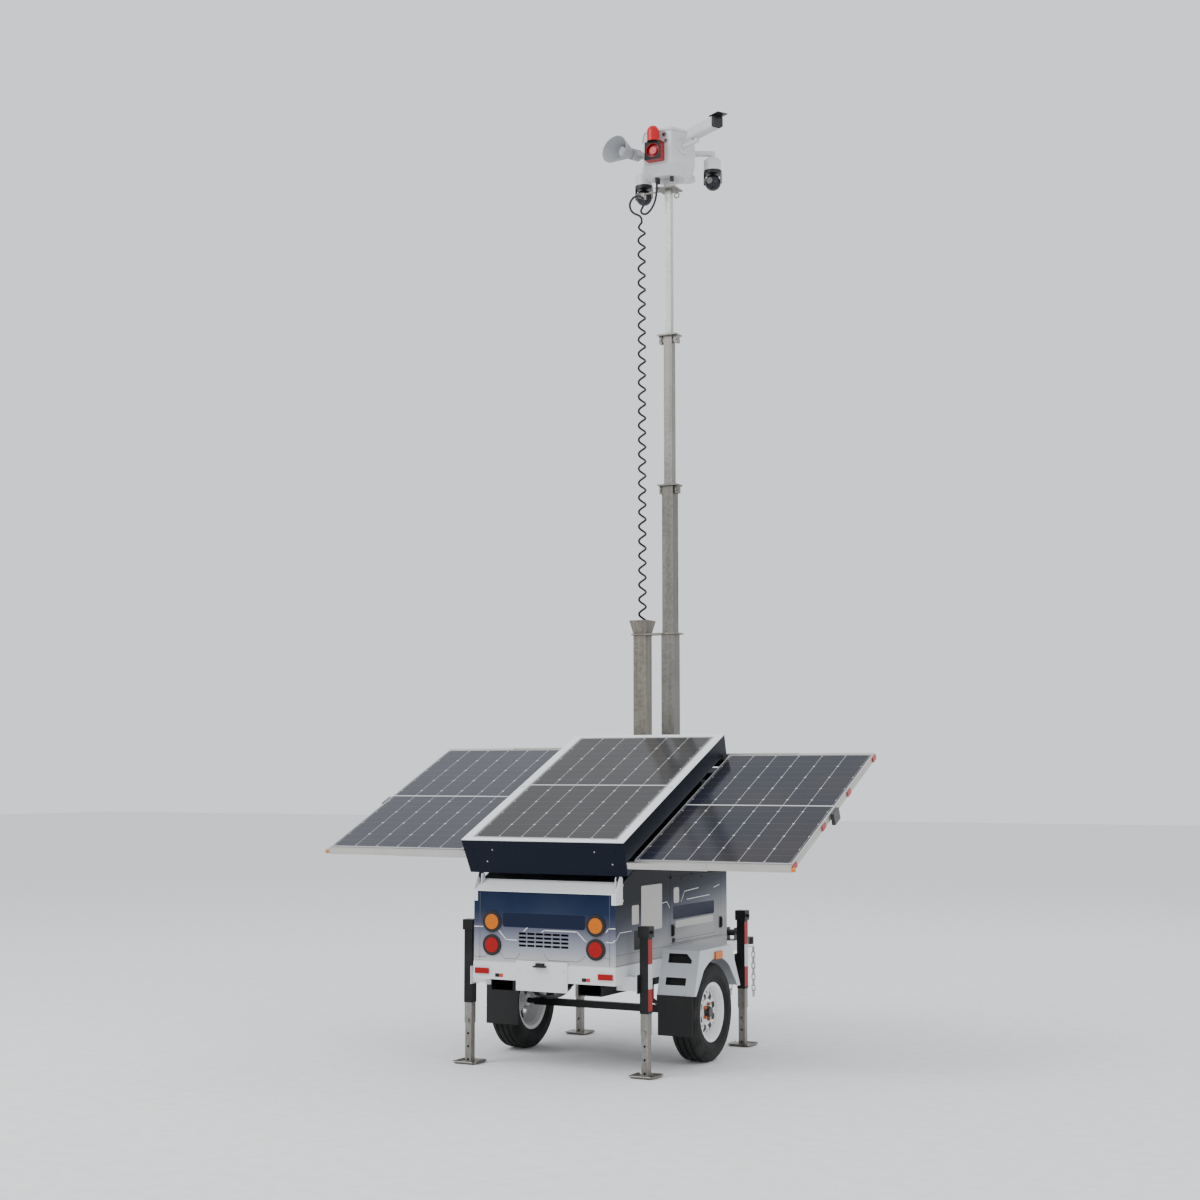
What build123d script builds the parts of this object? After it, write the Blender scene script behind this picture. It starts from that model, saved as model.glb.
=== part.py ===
"""Towable solar surveillance tower: cabinet trailer, tilted solar array with two
slide-out trays, four drop-leg jacks and a four-section telescoping mast with a camera head.

X is to the right seen from behind, Y points forward to the tow coupler, Z is up and the
ground is Z = 0. Lengths are millimetres. Inside this script Y = 0 is the cabinet's rear
face; write() moves every piece so that the origin is the middle of the footprint.
"""
from build123d import *
from math import cos, pi, radians, sin, sqrt, tan
import os

# ---- cabinet and frame ----
BODY_WIDTH = 1106.0
BODY_LENGTH = 1859.0
FRAME_BOTTOM = 613.0
BODY_BOTTOM = 734.0
REAR_TOP = 1217.0
CAP_RUN = 106.0
CAP_RISE = 73.0
TILT = 24.0
SHEET = 3.0
FRAME_RAIL = 60.0
CROSS_RAILS = (560.0, 1180.0)
POCKET_X = 342.0
POCKET_WIDTH = 180.0
POCKET_HEIGHT = 80.0
BEAM_WIDTH = 90.0
BEAM_TOP = 640.0
BEAM_BOTTOM = 560.0
TONGUE_END = 3470.0
STRUT_FOOT_X = 470.0
STRUT_MEET_Y = 2950.0

# ---- service door and vent ----
DOOR_REAR = 860.0
DOOR_FRONT = 1755.0
DOOR_BOTTOM = 824.0
DOOR_TOP = 1284.0
DOOR_GAP = 3.0
DOOR_RETURN = 22.0
DOOR_PIN_RADIUS = 3.0
DOOR_KNUCKLES = 5
VENT_WIDTH = 396.0
VENT_Z = (838.0, 946.0)

# ---- rear lamps and bumper ----
LAMP_X = 405.0
AMBER_Z = 1006.0
RED_Z = 847.0
LENS_RADIUS = 52.0
GROMMET_RADIUS = 72.0
BUMPER_HEIGHT = 116.0
PLATE_WIDTH = 400.0
PLATE_Z = (548.0, 751.0)

# ---- corner jacks ----
JACK_X = 691.0
JACK_Y = (180.0, 1832.0)
JACK_TUBE = 64.0
JACK_TUBE_BOTTOM = 422.0
JACK_CAP = 82.0
JACK_CAP_TOP = 1001.0
JACK_CAP_BOTTOM = 928.0
RAM_TUBE = 57.0
RAM_BOTTOM = 280.0
RAM_TOP = 860.0
LEG_TUBE = 50.0
LEG_TOP = 470.0
FOOT_SIZE = 150.0
FOOT_PLATE = 6.0
TUBE_WALL = 3.0
PIN_RADIUS = 8.0
PIN_Z = 297.0
LEG_HOLE_PITCH = 90.0
STUB_SIZE = 94.0
FLANGE_SIZE = 124.0
RAM_TRAVEL = 100.0
LEG_TRAVEL = 3 * LEG_HOLE_PITCH

# ---- wheels and fenders ----
AXLE_Y = 996.0
TYRE_RADIUS = 344.0
TYRE_CLEARANCE = 3.0
TYRE_WIDTH = 205.0
WHEEL_X = 728.0
RIM_RADIUS = 190.0
RIM_WIDTH = 168.0
FLANGE_RADIUS = 208.0
AXLE_TUBE = 50.0
SPINDLE_RADIUS = 20.0
SHAFT_GAP = 0.05
SPRING_X = 470.0
SPRING_HALF = 330.0
SPRING_DROP = 80.0
LEAF = 8.0
FENDER_OUTER = 840.0
FENDER_TOP = 797.0
FENDER_LOW = 492.0
FENDER_Y = (635.0, 734.0, 1276.0, 1440.0)
FLAP_BOTTOM = 215.0

# ---- solar array box (lengths along and square to its slope) ----
ARRAY_Y = -47.0
ARRAY_Z = 1567.0
ARRAY_WIDTH = 1270.0
ARRAY_LENGTH = 1854.0
ARRAY_DEPTH = 250.0
SKIRT_TAPER = 18.0
RIM_PLATE = 4.0
BOTTOM_FLANGE = 36.0
MODULE_WIDTH = 1134.0
MODULE_LENGTH = 1762.0
MODULE_THICK = 30.0
MODULE_GAP = 3.0
HINGE_Y = 70.0
HINGE_Z = 1316.0
HINGE_PIN = 8.0

# ---- slide-out trays ----
TRAY_TOP = {"left": 96.0, "right": 150.0}
TRAY_INNER_X = 667.0
TRAY_TRAVEL = 1170.0
RAIL_SHEET = 2.5
RAIL_HEIGHT = 40.0
RAIL_STEP = 3.0
RAIL_DROP = 5.0
RAIL_SIDE_GAP = 0.5
RAIL_DEPTH = 24.0
CHANNEL_HALF = 600.0
MID_INNER_X = 20.0
MID_LENGTH = 1190.0
SLOT_GAP = 2.0

# ---- mast ----
MAST_Y = 2049.0
MAST_TUBES = (110.0, 90.0, 70.0, 50.0)
MAST_WALL = 5.0
MAST_TOPS = (3133.0, 4319.0, 5537.0, 6728.0)
SECTION_LENGTH = 2300.0
PAD_GAP = 0.3
PAD_HEIGHT = 80.0
COLLAR_HEIGHT = 72.0
COLLAR_WIDTH = 165.0
COLLAR_DEPTH = 124.0
COLLAR_PLATE = 12.0
MAST_TRAVEL = 1085.0
CORD_TUBE_X = -246.0
CORD_TUBE = 110.0
CORD_TUBE_WALL = 4.0
FUNNEL_WIDTH = 160.0
FUNNEL_HEIGHT = 107.0
FOOT_BEAM_HEIGHT = 60.0
LIFT_CABLE_X = 68.0
LIFT_CABLE_RADIUS = 3.0

# ---- curly cord ----
COIL_RADIUS = 37.5
COIL_BOTTOM = 760.0
COIL_TOP = 6515.0
LEAD_RADIUS = 9.0
GRIP_GAP = 2.0

# ---- camera head ----
HEAD_SIDE = 232.0
HEAD_BOTTOM = 6885.0
HEAD_TOP = 7182.0
LID_OVERHANG = 12.0
LID_HEIGHT = 26.0
HOPPER_SIDE = 150.0
HOPPER_BOTTOM = 6812.0
HEAD_POST = 60.0
TOP_PLATE = 12.0
TOP_PLATE_WIDTH = 170.0
PTZ_REACH = 358.0
PTZ_RADIUS = 73.0
PTZ_TOP = {"left": 6954.0, "right": 6990.0}
PTZ_HOUSING = 98.0
PTZ_RING = 28.0
PTZ_BALL_RADIUS = 66.0
PTZ_DROP = 67.0
HORN_Z = 7000.0
HORN_PIVOT = 96.0
HORN_BELL = 179.0
HORN_MOUTH = (150.0, 106.0)
HORN_THROAT = 30.0
HORN_DRIVER_RADIUS = 46.0
HORN_DRIVER_LENGTH = 80.0
YOKE_PLATE = 5.0
YOKE_PIN = 5.0
HORN_PLUG = (38.0, 70.0, 28.0)
BULLET_Z = 7100.0
BULLET_START = 125.0
BULLET_BODY = 332.0
BULLET_SIZE = 92.0
SOUNDER_X = -13.0
SOUNDER_Z = (6907.0, 7055.0)
SOUNDER_WIDTH = 140.0
SOUNDER_DEPTH = 78.0
BEACON_RADIUS = 50.0
BEACON_DRUM = 80.0

# ---- sizes worked out from those above ----
SLOPE = radians(TILT)
HALF_BODY = BODY_WIDTH / 2
CAP_TOP = REAR_TOP + CAP_RISE
BODY_FRONT_TOP = CAP_TOP + (BODY_LENGTH - CAP_RUN) * tan(SLOPE)
AXLE_Z = TYRE_RADIUS + TYRE_CLEARANCE
COUPLER_NOSE = TONGUE_END + 150.0
REAR_MOST = ARRAY_Y
MID_Y = (REAR_MOST + COUPLER_NOSE) / 2
MODULE_END = (ARRAY_LENGTH - MODULE_LENGTH) / 2
TRAY_OUTER_X = TRAY_INNER_X + MODULE_WIDTH
MAST_FOOT = BEAM_TOP + FOOT_BEAM_HEIGHT
LIFT_CABLE_TOP = MAST_TOPS[1] - COLLAR_HEIGHT
FACE_REACH = HEAD_SIDE * sqrt(3) / 2
ARRAY_BOTTOM_Y = ARRAY_Y + ARRAY_DEPTH * sin(SLOPE)
ARRAY_BOTTOM_Z = ARRAY_Z - ARRAY_DEPTH * cos(SLOPE)
DOOR_PIN_X = HALF_BODY + DOOR_PIN_RADIUS + 2.0
DOOR_PIN_Z = DOOR_TOP + 4.0
HORN_WAY = (-0.4, -sqrt(1 - 0.16))
HORN_BASE = (-FACE_REACH * sqrt(3) / 2, MAST_Y - FACE_REACH / 2)
BULLET_WAY = (sqrt(3) / 2, -0.5)
PTZ_WAY = {"left": (-sqrt(3) / 2, 0.5), "right": (sqrt(3) / 2, 0.5)}
SIDES = {"left": -1, "right": 1}


# ---- helpers ----
def block(x, y, z):
    """A box from its (low, high) limits on each axis."""
    size = [high - low for low, high in (x, y, z)]
    middle = [(low + high) / 2 for low, high in (x, y, z)]
    return Pos(*middle) * Box(*size)


def centred(middle, width):
    """The (low, high) limits of a width about its middle."""
    return (middle - width / 2, middle + width / 2)


def post(x, y, width, z, wall=0.0):
    """A square bar along Z, or a square tube where a wall is given."""
    bar = block(centred(x, width), centred(y, width), z)
    if not wall:
        return bar
    inner = width - 2 * wall
    return bar - block(centred(x, inner), centred(y, inner), (z[0] - 1, z[1] + 1))


def rod(start, end, radius):
    """A round bar between two points."""
    start, end = Vector(*start), Vector(*end)
    run = end - start
    return Plane(origin=(start + end) * 0.5, z_dir=run) * Cylinder(radius, run.length)


def pipe(start, end, radius, bore):
    """A round bar with a through bore."""
    start, end = Vector(*start), Vector(*end)
    past = (end - start).normalized()
    return rod(start, end, radius) - rod(start - past, end + past, bore)


def side_sheet(points, x):
    """A closed YZ outline drawn out between two X limits."""
    outline = Polyline(*[(x[0], y, z) for y, z in points], close=True)
    return extrude(make_face(outline), x[1] - x[0], dir=(1, 0, 0))


def end_sheet(points, y):
    """A closed XZ outline drawn out between two Y limits."""
    outline = Polyline(*[(x, y[0], z) for x, z in points], close=True)
    return extrude(make_face(outline), y[1] - y[0], dir=(0, 1, 0))


def both(shape):
    """A shape and its mirror image across the centre plane."""
    return [shape, mirror(shape, about=Plane.YZ)]


def bolt(place, way, radius=9.0, height=7.0):
    """A hexagon bolt head standing on a surface."""
    head = extrude(RegularPolygon(radius, 6), height)
    return Plane(origin=place, z_dir=way) * head


def on_array(shape):
    """Move a shape from the array's own frame to its tilted place."""
    return Location((0, ARRAY_Y, ARRAY_Z), (TILT, 0, 0)) * shape


def write(node, *shapes):
    """Write one node's solids to parts/NODE.step about the model's origin."""
    flat = []
    for shape in shapes:
        flat += shape if isinstance(shape, list) else [shape]
    solids = [Pos(0, -MID_Y, 0) * solid for shape in flat for solid in shape.solids()]
    export_step(Compound(children=solids), f"parts/{node}.step")
    print(node, len(solids))


# ---- frame and tongue ----
def strut(side):
    """One angled tongue strut from a frame corner to the centre beam."""
    inner = side * BEAM_WIDTH / 2
    foot = side * STRUT_FOOT_X
    outline = [(foot - side * 35, BODY_LENGTH - 2), (foot + side * 35, BODY_LENGTH - 2),
               (inner, STRUT_MEET_Y + 60), (inner, STRUT_MEET_Y - 90)]
    base = make_face(Polyline(*[(x, y, BEAM_BOTTOM) for x, y in outline], close=True))
    return extrude(base, BEAM_TOP - BEAM_BOTTOM, dir=(0, 0, 1))


def outrigger(x_side, y):
    """The white stub and bolted flange plate that carry one jack."""
    z = (FRAME_BOTTOM - STUB_SIZE / 2 + 4, FRAME_BOTTOM + STUB_SIZE / 2 + 4)
    face = JACK_X - JACK_TUBE / 2 - 2 * FOOT_PLATE
    y_stub = centred(y, STUB_SIZE)
    stub = block((HALF_BODY - FRAME_RAIL, face), y_stub, z)
    plate = block((face, face + FOOT_PLATE), centred(y, FLANGE_SIZE), centred(sum(z) / 2, FLANGE_SIZE))
    shape = stub + plate
    return shape if x_side > 0 else mirror(shape, about=Plane.YZ)


def make_chassis():
    """Perimeter frame, cross rails, tongue beam with struts, and four outriggers."""
    z = (FRAME_BOTTOM, BODY_BOTTOM)
    half = HALF_BODY
    frame = block((-half, half), (0, BODY_LENGTH), z)
    frame -= block((-half + FRAME_RAIL, half - FRAME_RAIL), (FRAME_RAIL, BODY_LENGTH - FRAME_RAIL),
                   (z[0] - 1, z[1] + 1))
    for y in CROSS_RAILS:
        frame += block((-half + 2, half - 2), centred(y, FRAME_RAIL), (z[0], z[1] - 30))
    beam = block(centred(0, BEAM_WIDTH), (CROSS_RAILS[1], TONGUE_END), (BEAM_BOTTOM, BEAM_TOP))
    frame += beam + strut(1) + strut(-1)
    for side in (1, -1):
        for y in JACK_Y:
            frame += outrigger(side, y)
    pockets = []
    for x in (-POCKET_X, POCKET_X):
        outer = block(centred(x, POCKET_WIDTH), (30, BODY_LENGTH - 30),
                      (FRAME_BOTTOM - POCKET_HEIGHT, FRAME_BOTTOM))
        inner = block(centred(x, POCKET_WIDTH - 12), (0, BODY_LENGTH),
                      (FRAME_BOTTOM - POCKET_HEIGHT + 6, FRAME_BOTTOM - 6))
        pockets.append(outer - inner)
    write("chassis_frame", frame)
    write("fork_pockets", pockets)


def make_bumper():
    """White rear bumper with its number-plate panel and bolts."""
    top = FRAME_BOTTOM + BUMPER_HEIGHT
    bumper = block((-HALF_BODY, HALF_BODY), (-6, 0), (FRAME_BOTTOM, top))
    panel = block(centred(-8, PLATE_WIDTH), (-12, -6), PLATE_Z)
    bolts = [bolt((x, -12, 688), (0, -1, 0), 8, 5) for x in (-182, 166)]
    bolts += [bolt((x, -12, 562), (0, -1, 0), 4, 3) for x in (-182, -100, 84, 166)]
    write("rear_bumper", bumper, panel, bolts)


# ---- lamps ----
def make_lamps():
    """Rear lamps, side markers and the hooded number-plate lamp."""
    spots = [(x, z) for x in (-LAMP_X, LAMP_X) for z in (AMBER_Z, RED_Z)]
    grommets = [pipe((x, 0, z), (x, -9, z), GROMMET_RADIUS, LENS_RADIUS + 0.3) for x, z in spots]
    hood = block(centred(-15, 92), (-44, -12), (712, 722)) + block(centred(-15, 60), (-34, -12), (722, 740))
    write("lamp_grommets", grommets, hood)
    lens = {z: [rod((x, 0, z), (x, -12, z), LENS_RADIUS) for x in (-LAMP_X, LAMP_X)]
            for z in (AMBER_Z, RED_Z)}
    markers = both(block(centred(481, 108), (-18, -6), (650, 688)))
    write("red_lamps", lens[RED_Z], markers)
    side = both(block((FENDER_OUTER, FENDER_OUTER + 14), centred(1035, 120), (718, 770)))
    write("amber_lamps", lens[AMBER_Z], side)


# ---- cabinet ----
def wedge(inset, x):
    """The cabinet's side outline, set in by a wall, between two X limits."""
    rise = inset * (1 / cos(SLOPE) + tan(SLOPE))
    points = [(inset, BODY_BOTTOM + inset), (BODY_LENGTH - inset, BODY_BOTTOM + inset),
              (BODY_LENGTH - inset, BODY_FRONT_TOP - rise),
              (CAP_RUN + inset / 2, CAP_TOP - inset * 1.3), (inset, REAR_TOP - inset)]
    return side_sheet(points, x)


def door_knuckles(part):
    """The hinge knuckles of the wall (even) or of the door (odd)."""
    step = (DOOR_FRONT - DOOR_REAR) / DOOR_KNUCKLES
    rings = []
    for i in range(part, DOOR_KNUCKLES, 2):
        y = (DOOR_REAR + i * step + 0.5, DOOR_REAR + (i + 1) * step - 0.5)
        ends = [(DOOR_PIN_X, edge, DOOR_PIN_Z) for edge in y]
        bore = DOOR_PIN_RADIUS + (SHAFT_GAP if part else 0)
        ring = pipe(*ends, DOOR_PIN_RADIUS + 2, bore)
        z = (DOOR_PIN_Z, DOOR_PIN_Z + 24) if part == 0 else (DOOR_PIN_Z - 24, DOOR_PIN_Z)
        leaf = block((HALF_BODY, HALF_BODY + 2), y, z)
        leaf -= rod((DOOR_PIN_X, y[0] - 1, DOOR_PIN_Z), (DOOR_PIN_X, y[1] + 1, DOOR_PIN_Z), bore)
        rings.append(ring + leaf)
    return rings


def make_cabinet():
    """Sheet cabinet with its vent, door opening, hinge leaves and array rests."""
    inner = (-HALF_BODY + SHEET, HALF_BODY - SHEET)
    shell = wedge(0, (-HALF_BODY, HALF_BODY)) - wedge(SHEET, inner)
    shell -= block((0, HALF_BODY + 5), (DOOR_REAR - DOOR_GAP, DOOR_FRONT + DOOR_GAP),
                   (DOOR_BOTTOM - DOOR_GAP, DOOR_TOP + DOOR_GAP))
    columns, rows = 6, 4
    pitch_x = VENT_WIDTH / columns
    pitch_z = (VENT_Z[1] - VENT_Z[0]) / rows
    for i in range(columns):
        for j in range(rows):
            x = -VENT_WIDTH / 2 + pitch_x * (i + 0.5)
            z = VENT_Z[0] + pitch_z * (j + 0.5)
            shell -= block(centred(x, pitch_x - 8), (-1, SHEET + 1), centred(z, pitch_z - 12))
    pin = rod((DOOR_PIN_X, DOOR_REAR, DOOR_PIN_Z), (DOOR_PIN_X, DOOR_FRONT, DOOR_PIN_Z), DOOR_PIN_RADIUS)
    for knuckle in door_knuckles(0):
        pin += knuckle
    gap = (CAP_RUN - ARRAY_BOTTOM_Y) * tan(SLOPE) + ARRAY_BOTTOM_Z - CAP_TOP
    rest_depth = gap * cos(SLOPE)
    rests = [on_array(block(centred(x, 90), (1640, 1700), (-ARRAY_DEPTH - rest_depth, -ARRAY_DEPTH - PAD_GAP)))
             for x in (-400, 400)]
    write("cabinet_shell", shell, pin, rests)


def make_rear_cap():
    """White cap over the rear top edge with the array's hinge brackets."""
    slope = [(-4, REAR_TOP - 3), (CAP_RUN, CAP_TOP), (CAP_RUN, CAP_TOP + SHEET + 1), (-4, REAR_TOP + 4)]
    cap = side_sheet(slope, (-HALF_BODY, HALF_BODY))
    cap -= wedge(0, (-HALF_BODY, HALF_BODY))
    cheek = [(-4, 1146), (97, 1146), (97, HINGE_Z + 6), (84, HINGE_Z + 18), (58, HINGE_Z + 18),
             (34, 1293), (4, 1240), (-4, REAR_TOP + 4)]
    outer = side_sheet(cheek, (HALF_BODY, HALF_BODY + 5))
    wrap = block((HALF_BODY - 30, HALF_BODY + 5), (-4, 0), (1146, REAR_TOP))
    ear_x = (HALF_BODY - 31, HALF_BODY - 25)
    ear = side_sheet([(50, 1262), (95, 1290), (95, HINGE_Z + 10), (80, HINGE_Z + 16),
                      (58, HINGE_Z + 16), (50, HINGE_Z)], ear_x)
    ear -= wedge(0, (-HALF_BODY, HALF_BODY))
    pin = rod((ear_x[0] - 4, HINGE_Y, HINGE_Z), (HALF_BODY + 9, HINGE_Y, HINGE_Z), HINGE_PIN)
    bracket = outer + wrap + ear + pin
    spots = [(0, 1230), (0, 1171), (77, 1276), (77, 1173)]
    bolts = [bolt((HALF_BODY + 5, y + 12, z), (1, 0, 0), 8, 5) for y, z in spots]
    fall = (0, -sin(radians(34.5)), cos(radians(34.5)))
    rivets = [bolt((x, 45, 1250.5 + SHEET), fall, 7, 5) for x in (-430, -145, 145, 430)]
    whole = cap + bracket + mirror(bracket, about=Plane.YZ)
    write("rear_cap", whole, both(bolts[0]), both(bolts[1]), both(bolts[2]), both(bolts[3]), rivets)


def make_door():
    """Top-hung service door with its folded edge, latches and lock."""
    y = (DOOR_REAR, DOOR_FRONT)
    z = (DOOR_BOTTOM, DOOR_TOP)
    door = block((HALF_BODY - DOOR_RETURN, HALF_BODY), y, z)
    door -= block((HALF_BODY - DOOR_RETURN - 1, HALF_BODY - SHEET), (y[0] + SHEET, y[1] - SHEET),
                  (z[0] + SHEET, z[1] - SHEET))
    for knuckle in door_knuckles(1):
        door += knuckle
    write("service_door", door)
    latches = []
    for edge in (DOOR_REAR + 26, DOOR_FRONT - 26):
        body = block((HALF_BODY, HALF_BODY + 12), centred(edge, 26), (874, 957))
        latches.append(body + block((HALF_BODY + 12, HALF_BODY + 20), centred(edge, 14), (884, 947)))
    lock = rod((HALF_BODY, 903, 846), (HALF_BODY + 10, 903, 846), 17)
    write("door_latches", latches, lock)


def make_power_bank():
    """Batteries in two rows on the floor and the control unit on the rear wall."""
    floor = BODY_BOTTOM + SHEET
    size = (172.0, 330.0, 236.0)
    cases = []
    for i in range(4):
        for j in range(2):
            x = -360 + i * (size[0] + 8)
            y = 500 + j * (size[1] + 20)
            case = block(centred(x, size[0]), centred(y, size[1]), (floor, floor + size[2]))
            posts = [rod((x + dx, y - 130, floor + size[2]), (x + dx, y - 130, floor + size[2] + 18), 9)
                     for dx in (-50, 50)]
            cases += [case + posts[0] + posts[1]]
    unit = block(centred(-10, 460), (SHEET, SHEET + 110), (960, 1180))
    write("power_bank", cases, unit)


# ---- axle, springs, wheels, fenders ----
def make_axle():
    """Square axle tube with round spindles, and two leaf springs on hangers."""
    axle = block(centred(0, 2 * (WHEEL_X - TYRE_WIDTH / 2) - 10), centred(AXLE_Y, AXLE_TUBE),
                 centred(AXLE_Z, AXLE_TUBE))
    reach = WHEEL_X + 62
    axle += rod((-reach, AXLE_Y, AXLE_Z), (reach, AXLE_Y, AXLE_Z), SPINDLE_RADIUS)
    write("axle_beam", axle)
    springs = []
    for x in (-SPRING_X, SPRING_X):
        low = AXLE_Z + AXLE_TUBE / 2
        eye_z = low + SPRING_DROP
        pack = None
        for i, share in enumerate((1.0, 0.72, 0.46)):
            half = SPRING_HALF * share
            rise = SPRING_DROP * share * share
            base = low + (2 - i) * LEAF
            arc = ThreePointArc((x, AXLE_Y - half, base + rise), (x, AXLE_Y, base),
                                (x, AXLE_Y + half, base + rise))
            back = ThreePointArc((x, AXLE_Y + half, base + rise + LEAF), (x, AXLE_Y, base + LEAF),
                                 (x, AXLE_Y - half, base + rise + LEAF))
            ends = [Line(arc @ 1, back @ 0), Line(back @ 1, arc @ 0)]
            face = make_face([arc, ends[0], back, ends[1]])
            leaf = Pos(-25, 0, 0) * extrude(face, 50, dir=(1, 0, 0))
            pack = leaf if pack is None else pack + leaf
        for y in (AXLE_Y - SPRING_HALF, AXLE_Y + SPRING_HALF):
            pack += rod((x - 34, y, eye_z + 20), (x + 34, y, eye_z + 20), 16)
            for cheek in (x - 34, x + 28):
                pack += block((cheek, cheek + 6), centred(y, 44), (eye_z, FRAME_BOTTOM - POCKET_HEIGHT / 4))
        web_z = (FRAME_BOTTOM - POCKET_HEIGHT / 4, FRAME_BOTTOM)
        pack += block(centred(x, 72), centred(AXLE_Y, 2 * SPRING_HALF + 60), web_z)
        springs.append(pack)
    write("leaf_springs", springs)


def rim_outline():
    """Half section of the pressed rim as (radius, along-axle) points."""
    half = RIM_WIDTH / 2
    return [(FLANGE_RADIUS, half), (FLANGE_RADIUS, half - 5), (RIM_RADIUS, half - 12),
            (RIM_RADIUS - 18, half - 34), (RIM_RADIUS - 20, -half + 34), (RIM_RADIUS, -half + 12),
            (FLANGE_RADIUS, -half + 5), (FLANGE_RADIUS, -half), (RIM_RADIUS - 6, -half + 7),
            (RIM_RADIUS - 26, -half + 32), (RIM_RADIUS - 24, half - 34), (RIM_RADIUS - 6, half - 7)]


def spin(points, x_sign):
    """Turn a (radius, offset) outline about the axle line at one wheel."""
    centre = WHEEL_X * x_sign
    outline = Polyline(*[(centre + x_sign * off, AXLE_Y, AXLE_Z + r) for r, off in points], close=True)
    axis = Axis((centre, AXLE_Y, AXLE_Z), (1, 0, 0))
    return revolve(make_face(outline), axis, 360)


def make_wheel(name, sign):
    """Eight-window steel wheel with hub, bearing bore and lug nuts, and its tyre."""
    rim = spin(rim_outline(), sign)
    disc = [(RIM_RADIUS - 22, 30), (RIM_RADIUS - 22, 24), (120, 44), (86, 34), (30, 34),
            (30, 40), (84, 40), (120, 50)]
    wheel = rim + spin(disc, sign)
    at = WHEEL_X * sign
    for i in range(8):
        window = extrude(RegularPolygon(24, 3), 60, both=True)
        turn = Location((at + sign * 40, AXLE_Y, AXLE_Z), (0, 90, 0)) * Location((0, 0, 0), (0, 0, 45 * i))
        wheel -= turn * Location((133, 0, 0), (0, 0, 180)) * window
    hub = pipe((at - sign * 44, AXLE_Y, AXLE_Z), (at + sign * 62, AXLE_Y, AXLE_Z), 42, SPINDLE_RADIUS + SHAFT_GAP)
    wheel += hub
    wheel += rod((at + sign * 62.5, AXLE_Y, AXLE_Z), (at + sign * 76, AXLE_Y, AXLE_Z), 34) \
        + pipe((at + sign * 60, AXLE_Y, AXLE_Z), (at + sign * 64, AXLE_Y, AXLE_Z), 42, SPINDLE_RADIUS + 4)
    nuts = []
    for i in range(5):
        turn = 2 * pi * i / 5
        y, z = AXLE_Y + 57 * cos(turn), AXLE_Z + 57 * sin(turn)
        nuts.append(bolt((at + sign * 40, y, z), (sign, 0, 0), 11, 20))
    write(f"wheel_{name}", wheel, nuts)
    half = TYRE_WIDTH / 2
    seat = RIM_RADIUS + 0.3
    shoulder = TYRE_RADIUS - 22
    section = [(seat, 68), (FLANGE_RADIUS - 8, 71), (FLANGE_RADIUS + 1, 75), (FLANGE_RADIUS + 1, 86),
               (255, half), (290, half),
               (shoulder, half - 10), (TYRE_RADIUS - 4, half - 26)]
    for middle in (45, 0, -45):
        section += [(TYRE_RADIUS, middle + 6), (TYRE_RADIUS - 8, middle + 5),
                    (TYRE_RADIUS - 8, middle - 5), (TYRE_RADIUS, middle - 6)]
    section += [(TYRE_RADIUS - 4, -half + 26), (shoulder, -half + 10), (290, -half), (255, -half),
                (FLANGE_RADIUS + 1, -86), (FLANGE_RADIUS + 1, -75), (FLANGE_RADIUS - 8, -71), (seat, -68)]
    write(f"tyre_{name}", spin(section, sign))


def tread_shape(wide, deep, tall, cut):
    """Block of a step tread, with its upper outer corner cut off."""
    shape = Box(wide, deep, tall)
    if cut:
        shape -= Pos(wide / 2, 0, tall / 2) * (Rot(0, 45, 0) * Box(cut, deep + 4, cut))
    return shape


def fender():
    """One angular fender on the right: top, side cheek with arch, sloped ends."""
    low, rear, front, toe = FENDER_Y
    outline = [(low, FENDER_LOW), (rear, FENDER_TOP), (front, FENDER_TOP), (toe, FENDER_LOW)]
    x = (HALF_BODY, FENDER_OUTER)
    skin = side_sheet(outline, x)
    inside = [(low + 4, FENDER_LOW - 1), (rear + 2.7, FENDER_TOP - 4), (front - 2.7, FENDER_TOP - 4),
              (toe - 4, FENDER_LOW - 1)]
    skin -= side_sheet(inside, (x[0] - 1, x[1] - 3))
    arch = [Line((0, 664, FENDER_LOW - 5), (0, 790, 650)),
            ThreePointArc((0, 790, 650), (0, 1020, 726), (0, 1250, 645)),
            Line((0, 1250, 645), (0, 1396, FENDER_LOW - 5)),
            Line((0, 1396, FENDER_LOW - 5), (0, 664, FENDER_LOW - 5))]
    skin -= Pos(x[1] - 10, 0, 0) * extrude(make_face(arch), 20, dir=(1, 0, 0))
    treads = []
    for z, wide, cut in (((707, 774), 180, 60), ((559, 613), 155, 0)):
        y = low + (sum(z) / 2 - FENDER_LOW) * (rear - low) / (FENDER_TOP - FENDER_LOW)
        tilt = Location((606 + wide / 2, y, sum(z) / 2), (-18, 0, 0))
        tall = z[1] - z[0]
        skin -= tilt * tread_shape(wide, 30, tall, cut)
        rim = tread_shape(wide + 6, 30, tall + 6, cut and cut + 2.5) - tread_shape(wide, 40, tall, cut)
        back = Pos(0, 16, 0) * tread_shape(wide + 6, 3, tall + 6, cut and cut + 2.5)
        treads.append(tilt * (Pos(0, 19.3, 0) * (rim + back)))
    return skin, treads


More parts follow.
